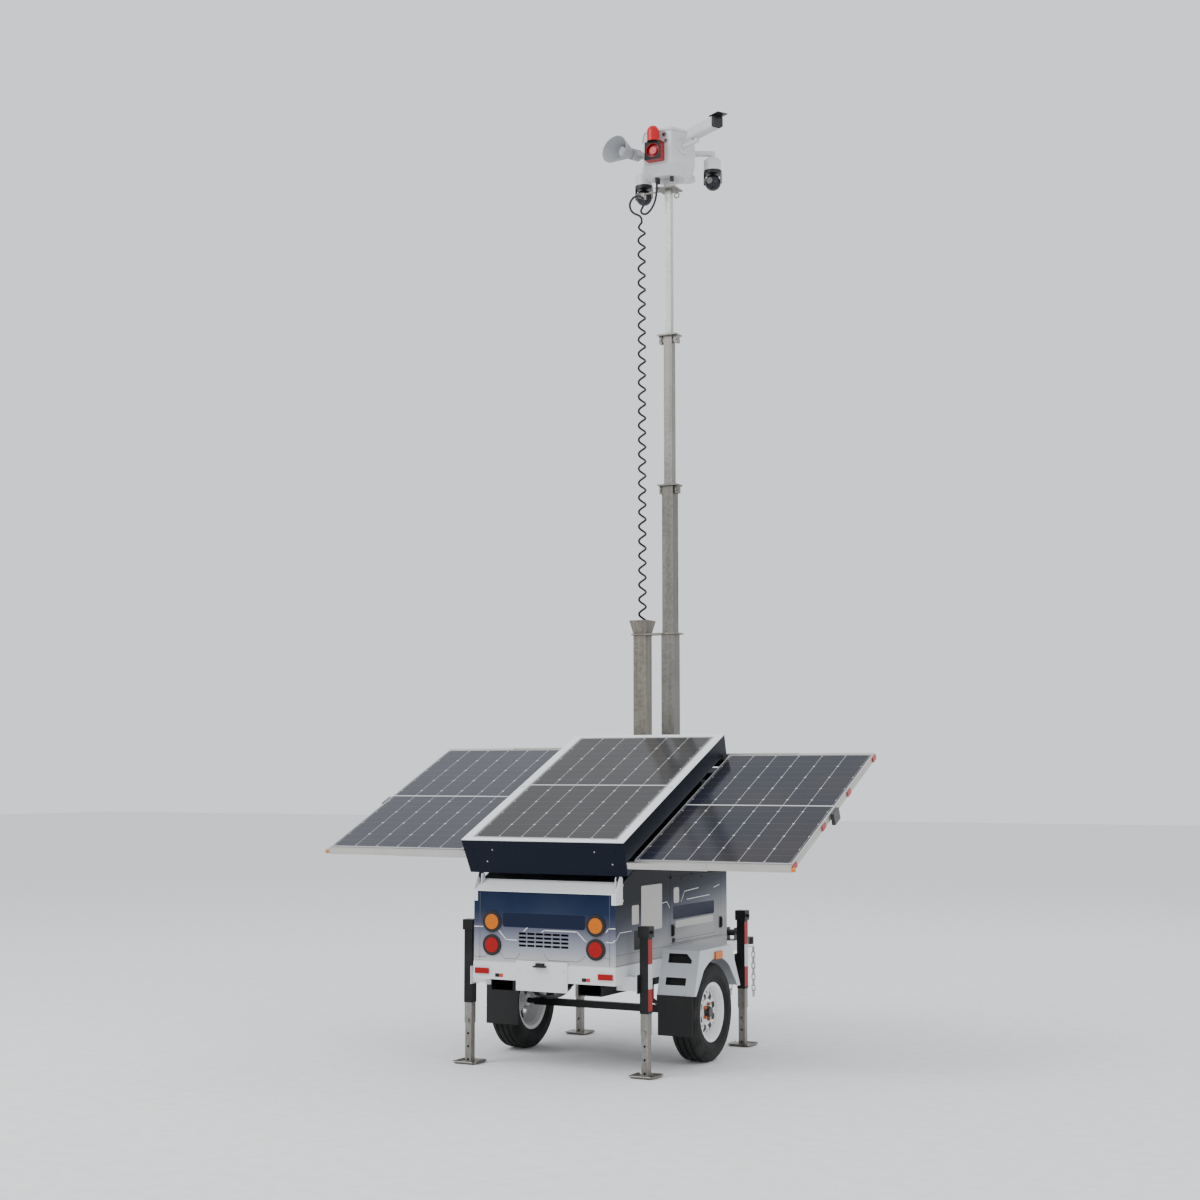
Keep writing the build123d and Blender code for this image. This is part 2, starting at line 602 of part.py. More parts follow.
def make_fenders():
    """Both fenders with bolts, and the black step treads and mud flaps."""
    skin, treads = fender()
    low = FENDER_Y[0]
    bolts = []
    for x in (575, 668, 765):
        bolts.append(bolt((x, low + 4, FENDER_LOW + 14), (0, -1, 0.3), 7, 5))
    skins, rubber = [], []
    for shape in [skin] + bolts:
        skins += both(shape)
    for shape in treads:
        rubber += both(shape)
    flap = block((HALF_BODY + 8, FENDER_OUTER - 14), (low - 5, low + 1), (FLAP_BOTTOM, FENDER_LOW - 0.2))
    strap = block((HALF_BODY, HALF_BODY + 30), (low - 5, low + 1), (FENDER_LOW - 60, FENDER_LOW - 0.2))
    rubber += both(flap + strap)
    write("fenders", skins)
    write("fender_rubber", rubber)


# ---- corner jacks ----
def foot(x, y):
    """Square foot plate with turned-up edges."""
    plate = post(x, y, FOOT_SIZE, (0, FOOT_PLATE))
    for way in (1, -1):
        lip = Pos(x + way * (FOOT_SIZE / 2 + 9), y, FOOT_PLATE / 2 + 7)
        plate += lip * (Rot(0, -way * 38, 0) * Box(26, FOOT_SIZE, FOOT_PLATE - 1))
        lip = Pos(x, y + way * (FOOT_SIZE / 2 + 9), FOOT_PLATE / 2 + 7)
        plate += lip * (Rot(way * 38, 0, 0) * Box(FOOT_SIZE, 26, FOOT_PLATE - 1))
    return plate


def make_jacks():
    """Four jacks: fixed tubes with caps and flanges, then each ram and drop leg."""
    tubes = []
    for x_name, sign in SIDES.items():
        for y_name, y in zip(("rear", "front"), JACK_Y):
            x = sign * JACK_X
            tube = post(x, y, JACK_TUBE, (JACK_TUBE_BOTTOM, JACK_CAP_TOP - 6), TUBE_WALL)
            cap = post(x, y, JACK_CAP, (JACK_CAP_BOTTOM, JACK_CAP_TOP))
            cap -= post(x, y, JACK_TUBE - 1, (JACK_CAP_BOTTOM - 1, JACK_CAP_TOP - 6))
            shaft = rod((x + sign * JACK_CAP / 2, y, 962), (x + sign * (JACK_CAP / 2 + 16), y, 962), 11)
            inner = x - sign * JACK_TUBE / 2
            plate = block(tuple(sorted((inner, inner - sign * FOOT_PLATE))), centred(y, FLANGE_SIZE),
                          centred(FRAME_BOTTOM + 4, FLANGE_SIZE))
            body = tube + cap + shaft + plate
            for dy in (-46, 46):
                for dz in (-46, 46):
                    body += bolt((inner, y + dy, FRAME_BOTTOM + 4 + dz), (sign, 0, 0), 9, 7)
            tubes.append(body)
            ram = post(x, y, RAM_TUBE, (RAM_BOTTOM, RAM_TOP), TUBE_WALL)
            inner_wall = RAM_TUBE / 2 - TUBE_WALL
            pin = rod((x, y - 37, PIN_Z), (x, y - inner_wall, PIN_Z), PIN_RADIUS)
            pin += rod((x, y + inner_wall, PIN_Z), (x, y + 37, PIN_Z), PIN_RADIUS)
            clip = rod((x, y - 37, PIN_Z), (x, y - 41, PIN_Z), PIN_RADIUS + 4)
            write(f"jack_ram_{y_name}_{x_name}", ram + pin + clip)
            leg = post(x, y, LEG_TUBE, (FOOT_PLATE, LEG_TOP), TUBE_WALL)
            for i in range(5):
                z = PIN_Z - i * LEG_HOLE_PITCH + LEG_HOLE_PITCH
                if z > FOOT_PLATE + 20:
                    leg -= rod((x, y - 40, z), (x, y + 40, z), PIN_RADIUS + 0.4)
            write(f"jack_leg_{y_name}_{x_name}", leg + foot(x, y))
    write("jack_tubes", tubes)


# ---- solar array ----
def array_prism(inset, v, w):
    """The array's tapered cross-section, set in by a wall, between slope limits."""
    def half(depth):
        return ARRAY_WIDTH / 2 - SKIRT_TAPER * depth / ARRAY_DEPTH - inset
    points = [(-half(-w[1]), w[1]), (half(-w[1]), w[1]), (half(-w[0]), w[0]), (-half(-w[0]), w[0])]
    return end_sheet(points, v)


def make_array_box():
    """Navy skirts with bottom flange, tray slots, cross members and hinge lugs."""
    length = (0, ARRAY_LENGTH)
    shell = array_prism(0, length, (-ARRAY_DEPTH, -RIM_PLATE))
    shell -= array_prism(SHEET, (SHEET, ARRAY_LENGTH - SHEET), (-ARRAY_DEPTH + SHEET, 1))
    shell -= block(centred(0, ARRAY_WIDTH - 2 * (SKIRT_TAPER + BOTTOM_FLANGE)),
                   (BOTTOM_FLANGE, ARRAY_LENGTH - BOTTOM_FLANGE), (-ARRAY_DEPTH - 1, 0))
    for name, sign in SIDES.items():
        top = -TRAY_TOP[name] + SLOT_GAP
        foot_w = -TRAY_TOP[name] - RAIL_DROP - RAIL_HEIGHT - RAIL_STEP - SLOT_GAP
        x = tuple(sorted((sign * 560, sign * 660)))
        shell -= block(x, (SHEET, ARRAY_LENGTH - SHEET), (foot_w, top))
    for v in (260, 927, 1594):
        shell += block(centred(0, ARRAY_WIDTH - 2 * SKIRT_TAPER - 20), centred(v, 40),
                       (-ARRAY_DEPTH + SHEET - 1, -TRAY_TOP["right"] - 60))
    shape = on_array(shell)
    for sign in (1, -1):
        x = tuple(sorted((sign * (HALF_BODY - 24), sign * (HALF_BODY - 1))))
        lug = side_sheet([(HINGE_Y - 15, HINGE_Z - 4), (HINGE_Y, HINGE_Z - 16), (HINGE_Y + 15, HINGE_Z - 4),
                          (HINGE_Y + 22, ARRAY_BOTTOM_Z + 17.5), (HINGE_Y - 10, ARRAY_BOTTOM_Z + 3)], x)
        lug -= rod((x[0] - 1, HINGE_Y, HINGE_Z), (x[1] + 1, HINGE_Y, HINGE_Z), HINGE_PIN + SHAFT_GAP)
        shape += lug
    heads = [on_array(bolt((x, 0, w), (0, -1, 0), 5, 4)) for x in (-560, 560) for w in (-70, -205)]
    write("array_box", shape, heads)


def module(x, v, top):
    """A framed module: glass laminate in a lipped aluminium frame."""
    frame = block(x, v, (top - MODULE_THICK, top))
    lip = 10.0
    glass_x, glass_v = (x[0] + lip, x[1] - lip), (v[0] + lip, v[1] - lip)
    frame -= block(glass_x, glass_v, (top - MODULE_THICK - 1, top + 1))
    laminate = block(glass_x, glass_v, (top - 7, top - 1))
    return [on_array(frame), on_array(laminate)]


def make_array_top():
    """White rim round the fixed top module, with its side knobs and bearers."""
    v_module = (MODULE_END, ARRAY_LENGTH - MODULE_END)
    gap = MODULE_GAP
    half = MODULE_WIDTH / 2
    rim = block(centred(0, ARRAY_WIDTH), (0, ARRAY_LENGTH), (-RIM_PLATE, 0))
    rim -= block((-half - gap, half + gap), (v_module[0] - gap, v_module[1] + gap), (-RIM_PLATE - 1, 1))
    for v in (MODULE_END - gap - SHEET, ARRAY_LENGTH - MODULE_END + gap):
        rim += block((-half - 20, half + 20), (v, v + SHEET), (-46, -RIM_PLATE / 2))
        ledge_v = (v, v + SHEET + 24) if v < ARRAY_LENGTH / 2 else (v - 24, v + SHEET)
        rim += block((-half - 20, half + 20), ledge_v, (-MODULE_THICK - 4, -MODULE_THICK))
    knobs = [rod((x, 880, 0), (x, 880, 14), 15) for x in (-602, 602)]
    write("array_rim", on_array(rim), [on_array(knob) for knob in knobs])
    write("top_module", module((-half, half), v_module, 0))


def rail(x, v_web, depth, middle, height):
    """A C-section rail along X whose web faces a slope end at v_web."""
    sheet = RAIL_SHEET
    far = v_web > ARRAY_LENGTH / 2
    v = (v_web - depth, v_web) if far else (v_web, v_web + depth)
    cut = (v[0] - 1, v[1] - sheet) if far else (v[0] + sheet, v[1] + 1)
    body = block(x, v, centred(middle, height))
    return body - block((x[0] - 1, x[1] + 1), cut, centred(middle, height - 2 * sheet))


def make_slides():
    """Fixed channels, middle rails and the two trays with their modules."""
    channels = []
    for name, sign in SIDES.items():
        top = -TRAY_TOP[name]
        middle = top - RAIL_DROP - RAIL_HEIGHT / 2
        step = 2 * RAIL_SHEET + 2 * RAIL_SIDE_GAP
        mids, frame = [], None
        for end in (0, 1):
            def edge(offset):
                return offset if end == 0 else ARRAY_LENGTH - offset
            channels.append(rail((-CHANNEL_HALF, CHANNEL_HALF), edge(SHEET), RAIL_DEPTH, middle,
                                 RAIL_HEIGHT + 2 * step))
            x_mid = tuple(sorted((sign * MID_INNER_X, sign * (MID_INNER_X + MID_LENGTH))))
            mids.append(rail(x_mid, edge(SHEET + RAIL_STEP), RAIL_DEPTH - RAIL_STEP, middle,
                             RAIL_HEIGHT + step))
            x_tray = tuple(sorted((sign * TRAY_INNER_X, sign * TRAY_OUTER_X)))
            v_web = edge(SHEET + 2 * RAIL_STEP)
            side = rail(x_tray, v_web, MODULE_END - SHEET - 2 * RAIL_STEP - 2, middle, RAIL_HEIGHT)
            frame = side if frame is None else frame + side
        v_in = (SHEET + 2 * RAIL_STEP + RAIL_SHEET, ARRAY_LENGTH - SHEET - 2 * RAIL_STEP - RAIL_SHEET)
        w_bar = (middle - RAIL_HEIGHT / 2 + RAIL_SHEET, top - MODULE_THICK)
        for x in (TRAY_INNER_X + 40, (TRAY_INNER_X + TRAY_OUTER_X) / 2, TRAY_OUTER_X - 40):
            frame += block(centred(sign * x, 40), v_in, w_bar)
        rail_w = (middle - RAIL_HEIGHT / 2, middle + RAIL_HEIGHT / 2)
        outer = tuple(sorted((sign * TRAY_OUTER_X, sign * (TRAY_OUTER_X + SHEET))))
        frame += block(outer, (v_in[0] - RAIL_SHEET, v_in[1] + RAIL_SHEET), rail_w)
        past = sign * (TRAY_OUTER_X + SHEET)
        reflectors = []
        for v in (62, 650, 1200, 1792):
            x = tuple(sorted((past, past + sign * 8)))
            reflectors.append(block(x, centred(v, 70), centred(middle, RAIL_HEIGHT - 4)))
        latch_x = tuple(sorted((past, past + sign * 26)))
        latch = block(latch_x, centred(860, 110), (middle - 62, middle + RAIL_HEIGHT / 2))
        reflectors.append(latch)
        amber = block(tuple(sorted((past, past + sign * 24))), (1, 25), centred(middle, 24))
        reflectors.append(amber)
        write(f"slide_mid_{name}", [on_array(shape) for shape in mids])
        write(f"tray_frame_{name}", on_array(frame), [on_array(shape) for shape in reflectors])
        v_module = (MODULE_END, ARRAY_LENGTH - MODULE_END)
        write(f"tray_module_{name}", module(x_tray, v_module, top))
    write("slide_channels", [on_array(shape) for shape in channels])


# ---- mast ----
def wear_pads(width, wall, z, inner_half):
    """Ring of bearing pads fixed inside a tube's mouth."""
    outer = width - 2 * wall
    return post(0, MAST_Y, outer, z) - post(0, MAST_Y, 2 * inner_half, (z[0] - 1, z[1] + 1))


def collar(top, width):
    """Collar plate with two pulley housings below it, round one section's top."""
    plate = block(centred(0, COLLAR_WIDTH), centred(MAST_Y, COLLAR_DEPTH), (top - COLLAR_PLATE, top))
    for sign in (1, -1):
        x = centred(sign * LIFT_CABLE_X, 24)
        plate += block(x, centred(MAST_Y, 56), (top - COLLAR_HEIGHT, top - COLLAR_PLATE + 1))
        bridge = tuple(sorted((sign * (width / 2 - 1), sign * (LIFT_CABLE_X - 11))))
        plate += block(bridge, centred(MAST_Y, 40), (top - COLLAR_HEIGHT + 10, top - COLLAR_PLATE + 1))
        plate += rod((sign * LIFT_CABLE_X, MAST_Y - 36, top - 44), (sign * LIFT_CABLE_X, MAST_Y + 36, top - 44), 9)
    return plate - post(0, MAST_Y, width - 2, (top - COLLAR_HEIGHT - 1, top + 1))


def make_mast():
    """Base tube on its foot beam, then three sliding sections with collars and pads."""
    base_width, base_top = MAST_TUBES[0], MAST_TOPS[0]
    base = post(0, MAST_Y, base_width, (MAST_FOOT, base_top), MAST_WALL)
    pads = wear_pads(base_width, MAST_WALL, (base_top - PAD_HEIGHT, base_top), MAST_TUBES[1] / 2 + PAD_GAP)
    write("mast_base", base + pads)
    outer_x = CORD_TUBE_X - CORD_TUBE / 2
    foot_beam = block((outer_x - 12, base_width / 2 + 20), centred(MAST_Y, 130), (BEAM_TOP, MAST_FOOT))
    brackets = foot_beam
    x = (outer_x - 10, base_width / 2 + 20)
    for z in (980.0, 1880.0):
        arm = block(x, (BODY_LENGTH, MAST_Y + base_width / 2 + 8), (z, z + 50))
        for tube_x in (0, CORD_TUBE_X):
            arm -= post(tube_x, MAST_Y, base_width, (z - 1, z + 51))
        arm -= block((x[0] + 8, x[1] - 8), (BODY_LENGTH + 8, MAST_Y - base_width / 2 - 8), (z - 1, z + 51))
        brackets = [brackets, arm] if not isinstance(brackets, list) else brackets + [arm]
    tie = block((outer_x - 12, COLLAR_WIDTH / 2), centred(MAST_Y, COLLAR_DEPTH + 12),
                (base_top - COLLAR_PLATE, base_top))
    for tube_x in (0, CORD_TUBE_X):
        tie -= post(tube_x, MAST_Y, base_width, (base_top - 50, base_top + 1))
    write("mast_brackets", brackets, tie)
    for i in (1, 2, 3):
        width, top = MAST_TUBES[i], MAST_TOPS[i]
        low = top - SECTION_LENGTH
        section = post(0, MAST_Y, width, (low, top), MAST_WALL)
        shoe = MAST_TUBES[i - 1] - 2 * MAST_WALL - 2 * PAD_GAP
        section += post(0, MAST_Y, shoe, (low, low + PAD_HEIGHT)) \
            - post(0, MAST_Y, width - 2 * MAST_WALL, (low - 1, low + PAD_HEIGHT + 1))
        if i < 3:
            section += collar(top, width)
            section += wear_pads(width, MAST_WALL, (top - PAD_HEIGHT, top), MAST_TUBES[i + 1] / 2 + PAD_GAP)
        write(f"mast_section_{i + 1}", section)
    cables = [rod((x, MAST_Y, base_top), (x, MAST_Y, LIFT_CABLE_TOP), LIFT_CABLE_RADIUS)
              for x in (-LIFT_CABLE_X, LIFT_CABLE_X)]
    write("lift_cables", cables)


def frustum(x, y, low, high):
    """A tapered block between two squares, each (width, z)."""
    faces = [Pos(x, y, z) * Rectangle(width, width) for width, z in (low, high)]
    return loft(faces)


def make_cord_tube():
    """Square cord tube with the flared funnel at its top and a closed foot."""
    top = MAST_TOPS[0]
    x, y, width, wall = CORD_TUBE_X, MAST_Y, CORD_TUBE, CORD_TUBE_WALL
    tube = post(x, y, width, (MAST_FOOT, top), wall)
    foot_plate = post(x, y, width, (COIL_BOTTOM - 12, COIL_BOTTOM))
    rise = top + FUNNEL_HEIGHT
    funnel = frustum(x, y, (width, top), (FUNNEL_WIDTH, rise))
    funnel -= frustum(x, y, (width - 2 * wall, top - 0.01), (FUNNEL_WIDTH - 2 * wall, rise + 0.01))
    write("cord_tube", tube + foot_plate + funnel)


# ---- cord ----
def lead_points():
    """Route of the plain lead from the coil's top, round its loop, to the head plug."""
    x, y = CORD_TUBE_X, MAST_Y
    return [(x, y, COIL_TOP), (x, y, COIL_TOP + 34), (x - 88, y - 4, COIL_TOP + 72),
            (x - 112, y - 8, COIL_TOP + 148), (x - 62, y - 14, COIL_TOP + 208),
            (x + 16, y - 22, COIL_TOP + 192), (x + 40, y - 30, COIL_TOP + 118),
            (x + 2, y - 42, COIL_TOP + 56), (x + 70, y - 62, COIL_TOP + 14),
            (x + 150, y - 92, COIL_TOP + 66), (x + 186, y - 100, COIL_TOP + 160),
            (x + 186, y - 100, COIL_TOP + 262)]


def fillet_radii(points, share=0.45):
    """A bend radius for each inner corner, from its shorter run and its turn."""
    radii = []
    for before, corner, after in zip(points, points[1:], points[2:]):
        back, ahead = Vector(*corner) - Vector(*before), Vector(*after) - Vector(*corner)
        turn = radians(back.get_angle(ahead))
        radii.append(share * min(back.length, ahead.length) / tan(turn / 2))
    return radii


def make_cord():
    """The curly cord's outer shape and the plain lead that rises to the head."""
    coil = rod((CORD_TUBE_X, MAST_Y, COIL_BOTTOM), (CORD_TUBE_X, MAST_Y, COIL_TOP), COIL_RADIUS)
    write("cord_coil", coil)
    points = lead_points()
    radii = fillet_radii(points)
    route = FilletPolyline(*points, radius=radii)
    start = Plane(origin=route @ 0, z_dir=route % 0)
    lead = sweep(start * Circle(LEAD_RADIUS), path=route)
    section = pi * LEAD_RADIUS ** 2
    print("lead radii", [round(radius, 1) for radius in radii])
    print("lead length", round(route.length, 1), "by volume", round(lead.volume / section, 1))
    write("cord_lead", lead)


# ---- winch and coupler ----
def make_winch():
    """Mast winch on the tongue with its side plates, drum and turning crank."""
    y, z = 3235.0, BEAM_TOP + 62.0
    plates = block(centred(0, 96), centred(y, 120), (BEAM_TOP, BEAM_TOP + 5))
    for side in (-46, 41):
        plates += block((side, side + 5), centred(y, 110), (BEAM_TOP, z + 42))
    drum = rod((-41, y, z), (41, y, z), 26)
    shaft = rod((-56, y, z), (72, y, z), 9)
    write("winch", plates + drum + shaft)
    crank = pipe((58, y, z), (71.5, y, z), 17, 9 + SHAFT_GAP)
    crank += block((58, 66), centred(y, 26), (z + 16.5, z + 170))
    crank += rod((60, y, z + 162), (150, y, z + 162), 6) + rod((78, y, z + 162), (150, y, z + 162), 14)
    write("winch_crank", crank)


def make_coupler():
    """Ball coupler on the tongue's end with its lift latch, and two safety chains."""
    y0, nose = TONGUE_END, COUPLER_NOSE
    width = BEAM_WIDTH - 18
    body = block(centred(0, width), (y0, nose - 50), (BEAM_TOP - 60, BEAM_TOP))
    dome = Pos(0, nose - 50, BEAM_TOP - 30) * Cylinder(50, 60)
    body += dome
    ball = Pos(0, nose - 50, BEAM_TOP - 60) * Sphere(29)
    body -= ball
    body -= block(centred(0, 58), (nose - 50, nose - 20), (BEAM_TOP - 61, BEAM_TOP - 40))
    for side in (-17, 13):
        body += block((side, side + 4), (y0 + 22, y0 + 58), (BEAM_TOP - 1, BEAM_TOP + 26))
    body += rod((-20, y0 + 40, BEAM_TOP + 14), (20, y0 + 40, BEAM_TOP + 14), 5)
    write("coupler", body)
    latch = pipe((-12.5, y0 + 40, BEAM_TOP + 14), (12.5, y0 + 40, BEAM_TOP + 14), 10.5, 5 + SHAFT_GAP)
    latch += block((-12, 12), (y0 - 60, y0 + 31), (BEAM_TOP + 10, BEAM_TOP + 17))
    write("coupler_latch", latch)
    chains = []
    for sign in (1, -1):
        x = sign * (BEAM_WIDTH / 2 + 60)
        chains.append(rod((sign * BEAM_WIDTH / 2, 3440, BEAM_BOTTOM + 11), (x + sign * 9, 3440, BEAM_BOTTOM + 11), 4))
        link = extrude(SlotOverall(62, 34) - SlotOverall(46, 18), 4, both=True)
        for i in range(9):
            spin_z = 90 * (i % 2)
            hang = Location((x, 3440, BEAM_BOTTOM - 8 - 46 * i), (0, 0, spin_z))
            chains.append(hang * (Rot(0, 90, 0) * link))
    write("safety_chains", chains)


# ---- camera head ----
def hexagon(side, z):
    """A hexagon with one flat square to Y, centred on the mast."""
    return Pos(0, MAST_Y, z) * RegularPolygon(side, 6)


def hex_block(low, high):
    """A hexagonal prism or taper between two (side, z) sections."""
    return loft([hexagon(*low), hexagon(*high)])


def ptz_arm(name):
    """Elbow arm from a head face to the top of one camera housing."""
    way = PTZ_WAY[name]
    top = PTZ_TOP[name]
    z = top + 46
    near = (way[0] * (FACE_REACH - 2), MAST_Y + way[1] * (FACE_REACH - 2), z)
    far = (way[0] * PTZ_REACH, MAST_Y + way[1] * PTZ_REACH, z)
    arm = rod(near, far, 24) + Pos(*far) * Sphere(24)
    arm += rod(far, (far[0], far[1], top), 24)
    pad_end = (way[0] * (FACE_REACH + 8), MAST_Y + way[1] * (FACE_REACH + 8), z)
    arm += rod(near, pad_end, 48)
    arm += rod((far[0], far[1], top), (far[0], far[1], top - 14), PTZ_RADIUS - 18)
    return arm + rod((far[0], far[1], top - 14), (far[0], far[1], top - PTZ_HOUSING), PTZ_RADIUS)


def horn_plane(along):
    """A plane on the horn's line at a distance from the head; its x is the tilt pin's line."""
    base = Vector(HORN_BASE[0], HORN_BASE[1], HORN_Z)
    way = Vector(HORN_WAY[0], HORN_WAY[1], 0)
    pin = Vector(-HORN_WAY[1], HORN_WAY[0], 0)
    return Plane(origin=base + way * along, z_dir=way, x_dir=pin)


def horn_yoke():
    """U-yoke with its tilt pin, on a stem from the head's left rear face."""
    arm_x = HORN_DRIVER_RADIUS + 1.0
    sweep = sqrt(HORN_DRIVER_RADIUS ** 2 + (HORN_DRIVER_LENGTH / 2) ** 2)
    back = HORN_PIVOT - sweep - 1.0
    outer = arm_x + YOKE_PLATE
    yoke = block((-outer, outer), (-16, 16), (back - YOKE_PLATE, back))
    for side in (-1, 1):
        x = tuple(sorted((side * arm_x, side * outer)))
        yoke += block(x, (-16, 16), (back - YOKE_PLATE, HORN_PIVOT + 14))
    yoke += rod((-outer, 0, HORN_PIVOT), (outer, 0, HORN_PIVOT), YOKE_PIN)
    yoke += rod((0, 0, -2), (0, 0, back), 20)
    return horn_plane(0) * yoke


def make_head():
    """Hexagonal housing with lid, hopper, post, arms and plugs."""
    wall = 4.0
    shell = hex_block((HEAD_SIDE, HEAD_BOTTOM), (HEAD_SIDE, HEAD_TOP - LID_HEIGHT))
    shell -= hex_block((HEAD_SIDE - wall, HEAD_BOTTOM - 1), (HEAD_SIDE - wall, HEAD_TOP - LID_HEIGHT - wall))
    hopper = hex_block((HOPPER_SIDE, HOPPER_BOTTOM), (HEAD_SIDE, HEAD_BOTTOM))
    hopper -= hex_block((HOPPER_SIDE - wall, HOPPER_BOTTOM + wall), (HEAD_SIDE - wall, HEAD_BOTTOM + 0.1))
    lid = hex_block((HEAD_SIDE + LID_OVERHANG, HEAD_TOP - LID_HEIGHT), (HEAD_SIDE - 4, HEAD_TOP))
    house = shell + hopper + lid
    house += post(0, MAST_Y, HEAD_POST, (MAST_TOPS[3] + TOP_PLATE, HOPPER_BOTTOM + 1))
    house += post(0, MAST_Y, TOP_PLATE_WIDTH, (MAST_TOPS[3], MAST_TOPS[3] + TOP_PLATE))
    house += ptz_arm("left") + ptz_arm("right")
    far = MAST_Y + 350
    house += rod((0, MAST_Y + FACE_REACH - 2, 6990), (0, far, 6990), 22) + Pos(0, far, 6990) * Sphere(22)
    house += rod((0, far, 6990), (0, far, 6930), 22) + rod((0, far, 6938), (0, far, 6906), 75)
    base = (BULLET_WAY[0] * (FACE_REACH - 1), MAST_Y + BULLET_WAY[1] * (FACE_REACH - 1))
    tip = (BULLET_WAY[0] * (FACE_REACH + 14), MAST_Y + BULLET_WAY[1] * (FACE_REACH + 14))
    house += rod((*base, 7030), (*tip, 7030), 60)
    grip_x = CORD_TUBE_X + 16
    plate_z = MAST_TOPS[3]
    arm = block((grip_x - 14, -TOP_PLATE_WIDTH / 2 + 1), centred(MAST_Y + 12, 26), (plate_z + 2, plate_z + 8))
    lead_front = MAST_Y - 22 + LEAD_RADIUS + GRIP_GAP
    arm += block((grip_x - 14, grip_x + 14), (lead_front, MAST_Y + 25), (plate_z - 40, plate_z + 8))
    house += arm
    house += rod((70, MAST_Y, plate_z - 34), (70, MAST_Y, plate_z + 1), 5)
    house += Location((70, MAST_Y, plate_z - 52), (90, 0, 0)) * Torus(20, 5)
    plugs = [rod((x, MAST_Y - FACE_REACH, z), (x, MAST_Y - FACE_REACH - 14, z), radius)
             for x, z, radius in ((62, 7120, 19), (76, 7067, 16))]
    lead_end = lead_points()[-1]
    plugs.append(rod(lead_end, (lead_end[0], lead_end[1], HOPPER_BOTTOM), 16))
    plugs.append(rod((-60, MAST_Y - 70, HOPPER_BOTTOM), (-60, MAST_Y - 70, HOPPER_BOTTOM - 42), 14))
    plugs.append(rod((62, MAST_Y - 74, HOPPER_BOTTOM), (62, MAST_Y - 74, HOPPER_BOTTOM - 36), 16))
    house += horn_yoke()
    write("head_housing", house, plugs)


def make_sounder():
    """Square sounder with its round horn and the beacon dome above it."""
    face = MAST_Y - FACE_REACH
    low, high = SOUNDER_Z
    case = block(centred(SOUNDER_X, SOUNDER_WIDTH), (face - SOUNDER_DEPTH, face), (low, high))
    mouth = (SOUNDER_X, face - SOUNDER_DEPTH, (low + high) / 2)
    case -= rod(mouth, (mouth[0], mouth[1] + 26, mouth[2]), 54)
    case += rod((mouth[0], mouth[1] + 10, mouth[2]), (mouth[0], mouth[1] + 30, mouth[2]), 30)
    y = face - BEACON_RADIUS - LID_OVERHANG - 2
    dome = rod((SOUNDER_X, y, high), (SOUNDER_X, y, high + BEACON_DRUM), BEACON_RADIUS)
    dome += Pos(SOUNDER_X, y, high + BEACON_DRUM) * Sphere(BEACON_RADIUS)
    dome -= block(centred(SOUNDER_X, 200), centred(y, 200), (high - 60, high))
    write("sounder_beacon", case, dome)


def make_horn():
    """Flared horn speaker, its driver bored for the tilt pin, and its inner reflector."""
    half = HORN_DRIVER_LENGTH / 2
    throat = HORN_PIVOT + half
    mouth = throat + HORN_BELL
    wide, high = HORN_MOUTH
    outer = loft([Pos(0, 0, throat) * Circle(HORN_THROAT + 4), Pos(0, 0, mouth) * Ellipse(wide, high)])
    inner = loft([Pos(0, 0, throat) * Circle(HORN_THROAT), Pos(0, 0, mouth + 1) * Ellipse(wide - 3, high - 3)])
    driver = rod((0, 0, HORN_PIVOT - half), (0, 0, throat + 1), HORN_DRIVER_RADIUS)
    driver -= rod((-99, 0, HORN_PIVOT), (99, 0, HORN_PIVOT), YOKE_PIN + SHAFT_GAP)
    radius, reach, length = HORN_PLUG
    stem = rod((0, 0, throat), (0, 0, throat + reach + 1), 12)
    plug = rod((0, 0, throat + reach), (0, 0, throat + reach + length), radius)
    write("horn_speaker", horn_plane(0) * (outer - inner + driver + stem + plug))


def make_bullet():
    """Bullet camera on its swivel: knuckle, square body, hood and front."""
    way = Vector(*BULLET_WAY, 0)
    face = Vector(0, MAST_Y, 0) + way * FACE_REACH
    root = face + way * 14.3 + Vector(0, 0, 7030)
    knee = face + way * 190 + Vector(0, 0, 7030)
    under = face + way * 190 + Vector(0, 0, BULLET_Z - BULLET_SIZE / 2)
    arm = rod(root, knee, 18) + Pos(*knee) * Sphere(22) + rod(knee, under, 18)
    start = face + way * BULLET_START + Vector(0, 0, BULLET_Z)
    frame = Plane(origin=start, z_dir=way, x_dir=(0, 0, 1))
    body = extrude(RectangleRounded(BULLET_SIZE, BULLET_SIZE, 18), BULLET_BODY)
    body += Pos(0, 0, BULLET_BODY) * extrude(RectangleRounded(BULLET_SIZE - 4, BULLET_SIZE - 4, 16), 22)
    hood_z = (BULLET_BODY - 40, BULLET_BODY + 80)
    body += block((BULLET_SIZE / 2 - 1, BULLET_SIZE / 2 + 6), centred(0, BULLET_SIZE + 4), hood_z)
    camera = frame * body
    write("bullet_camera", camera, arm)


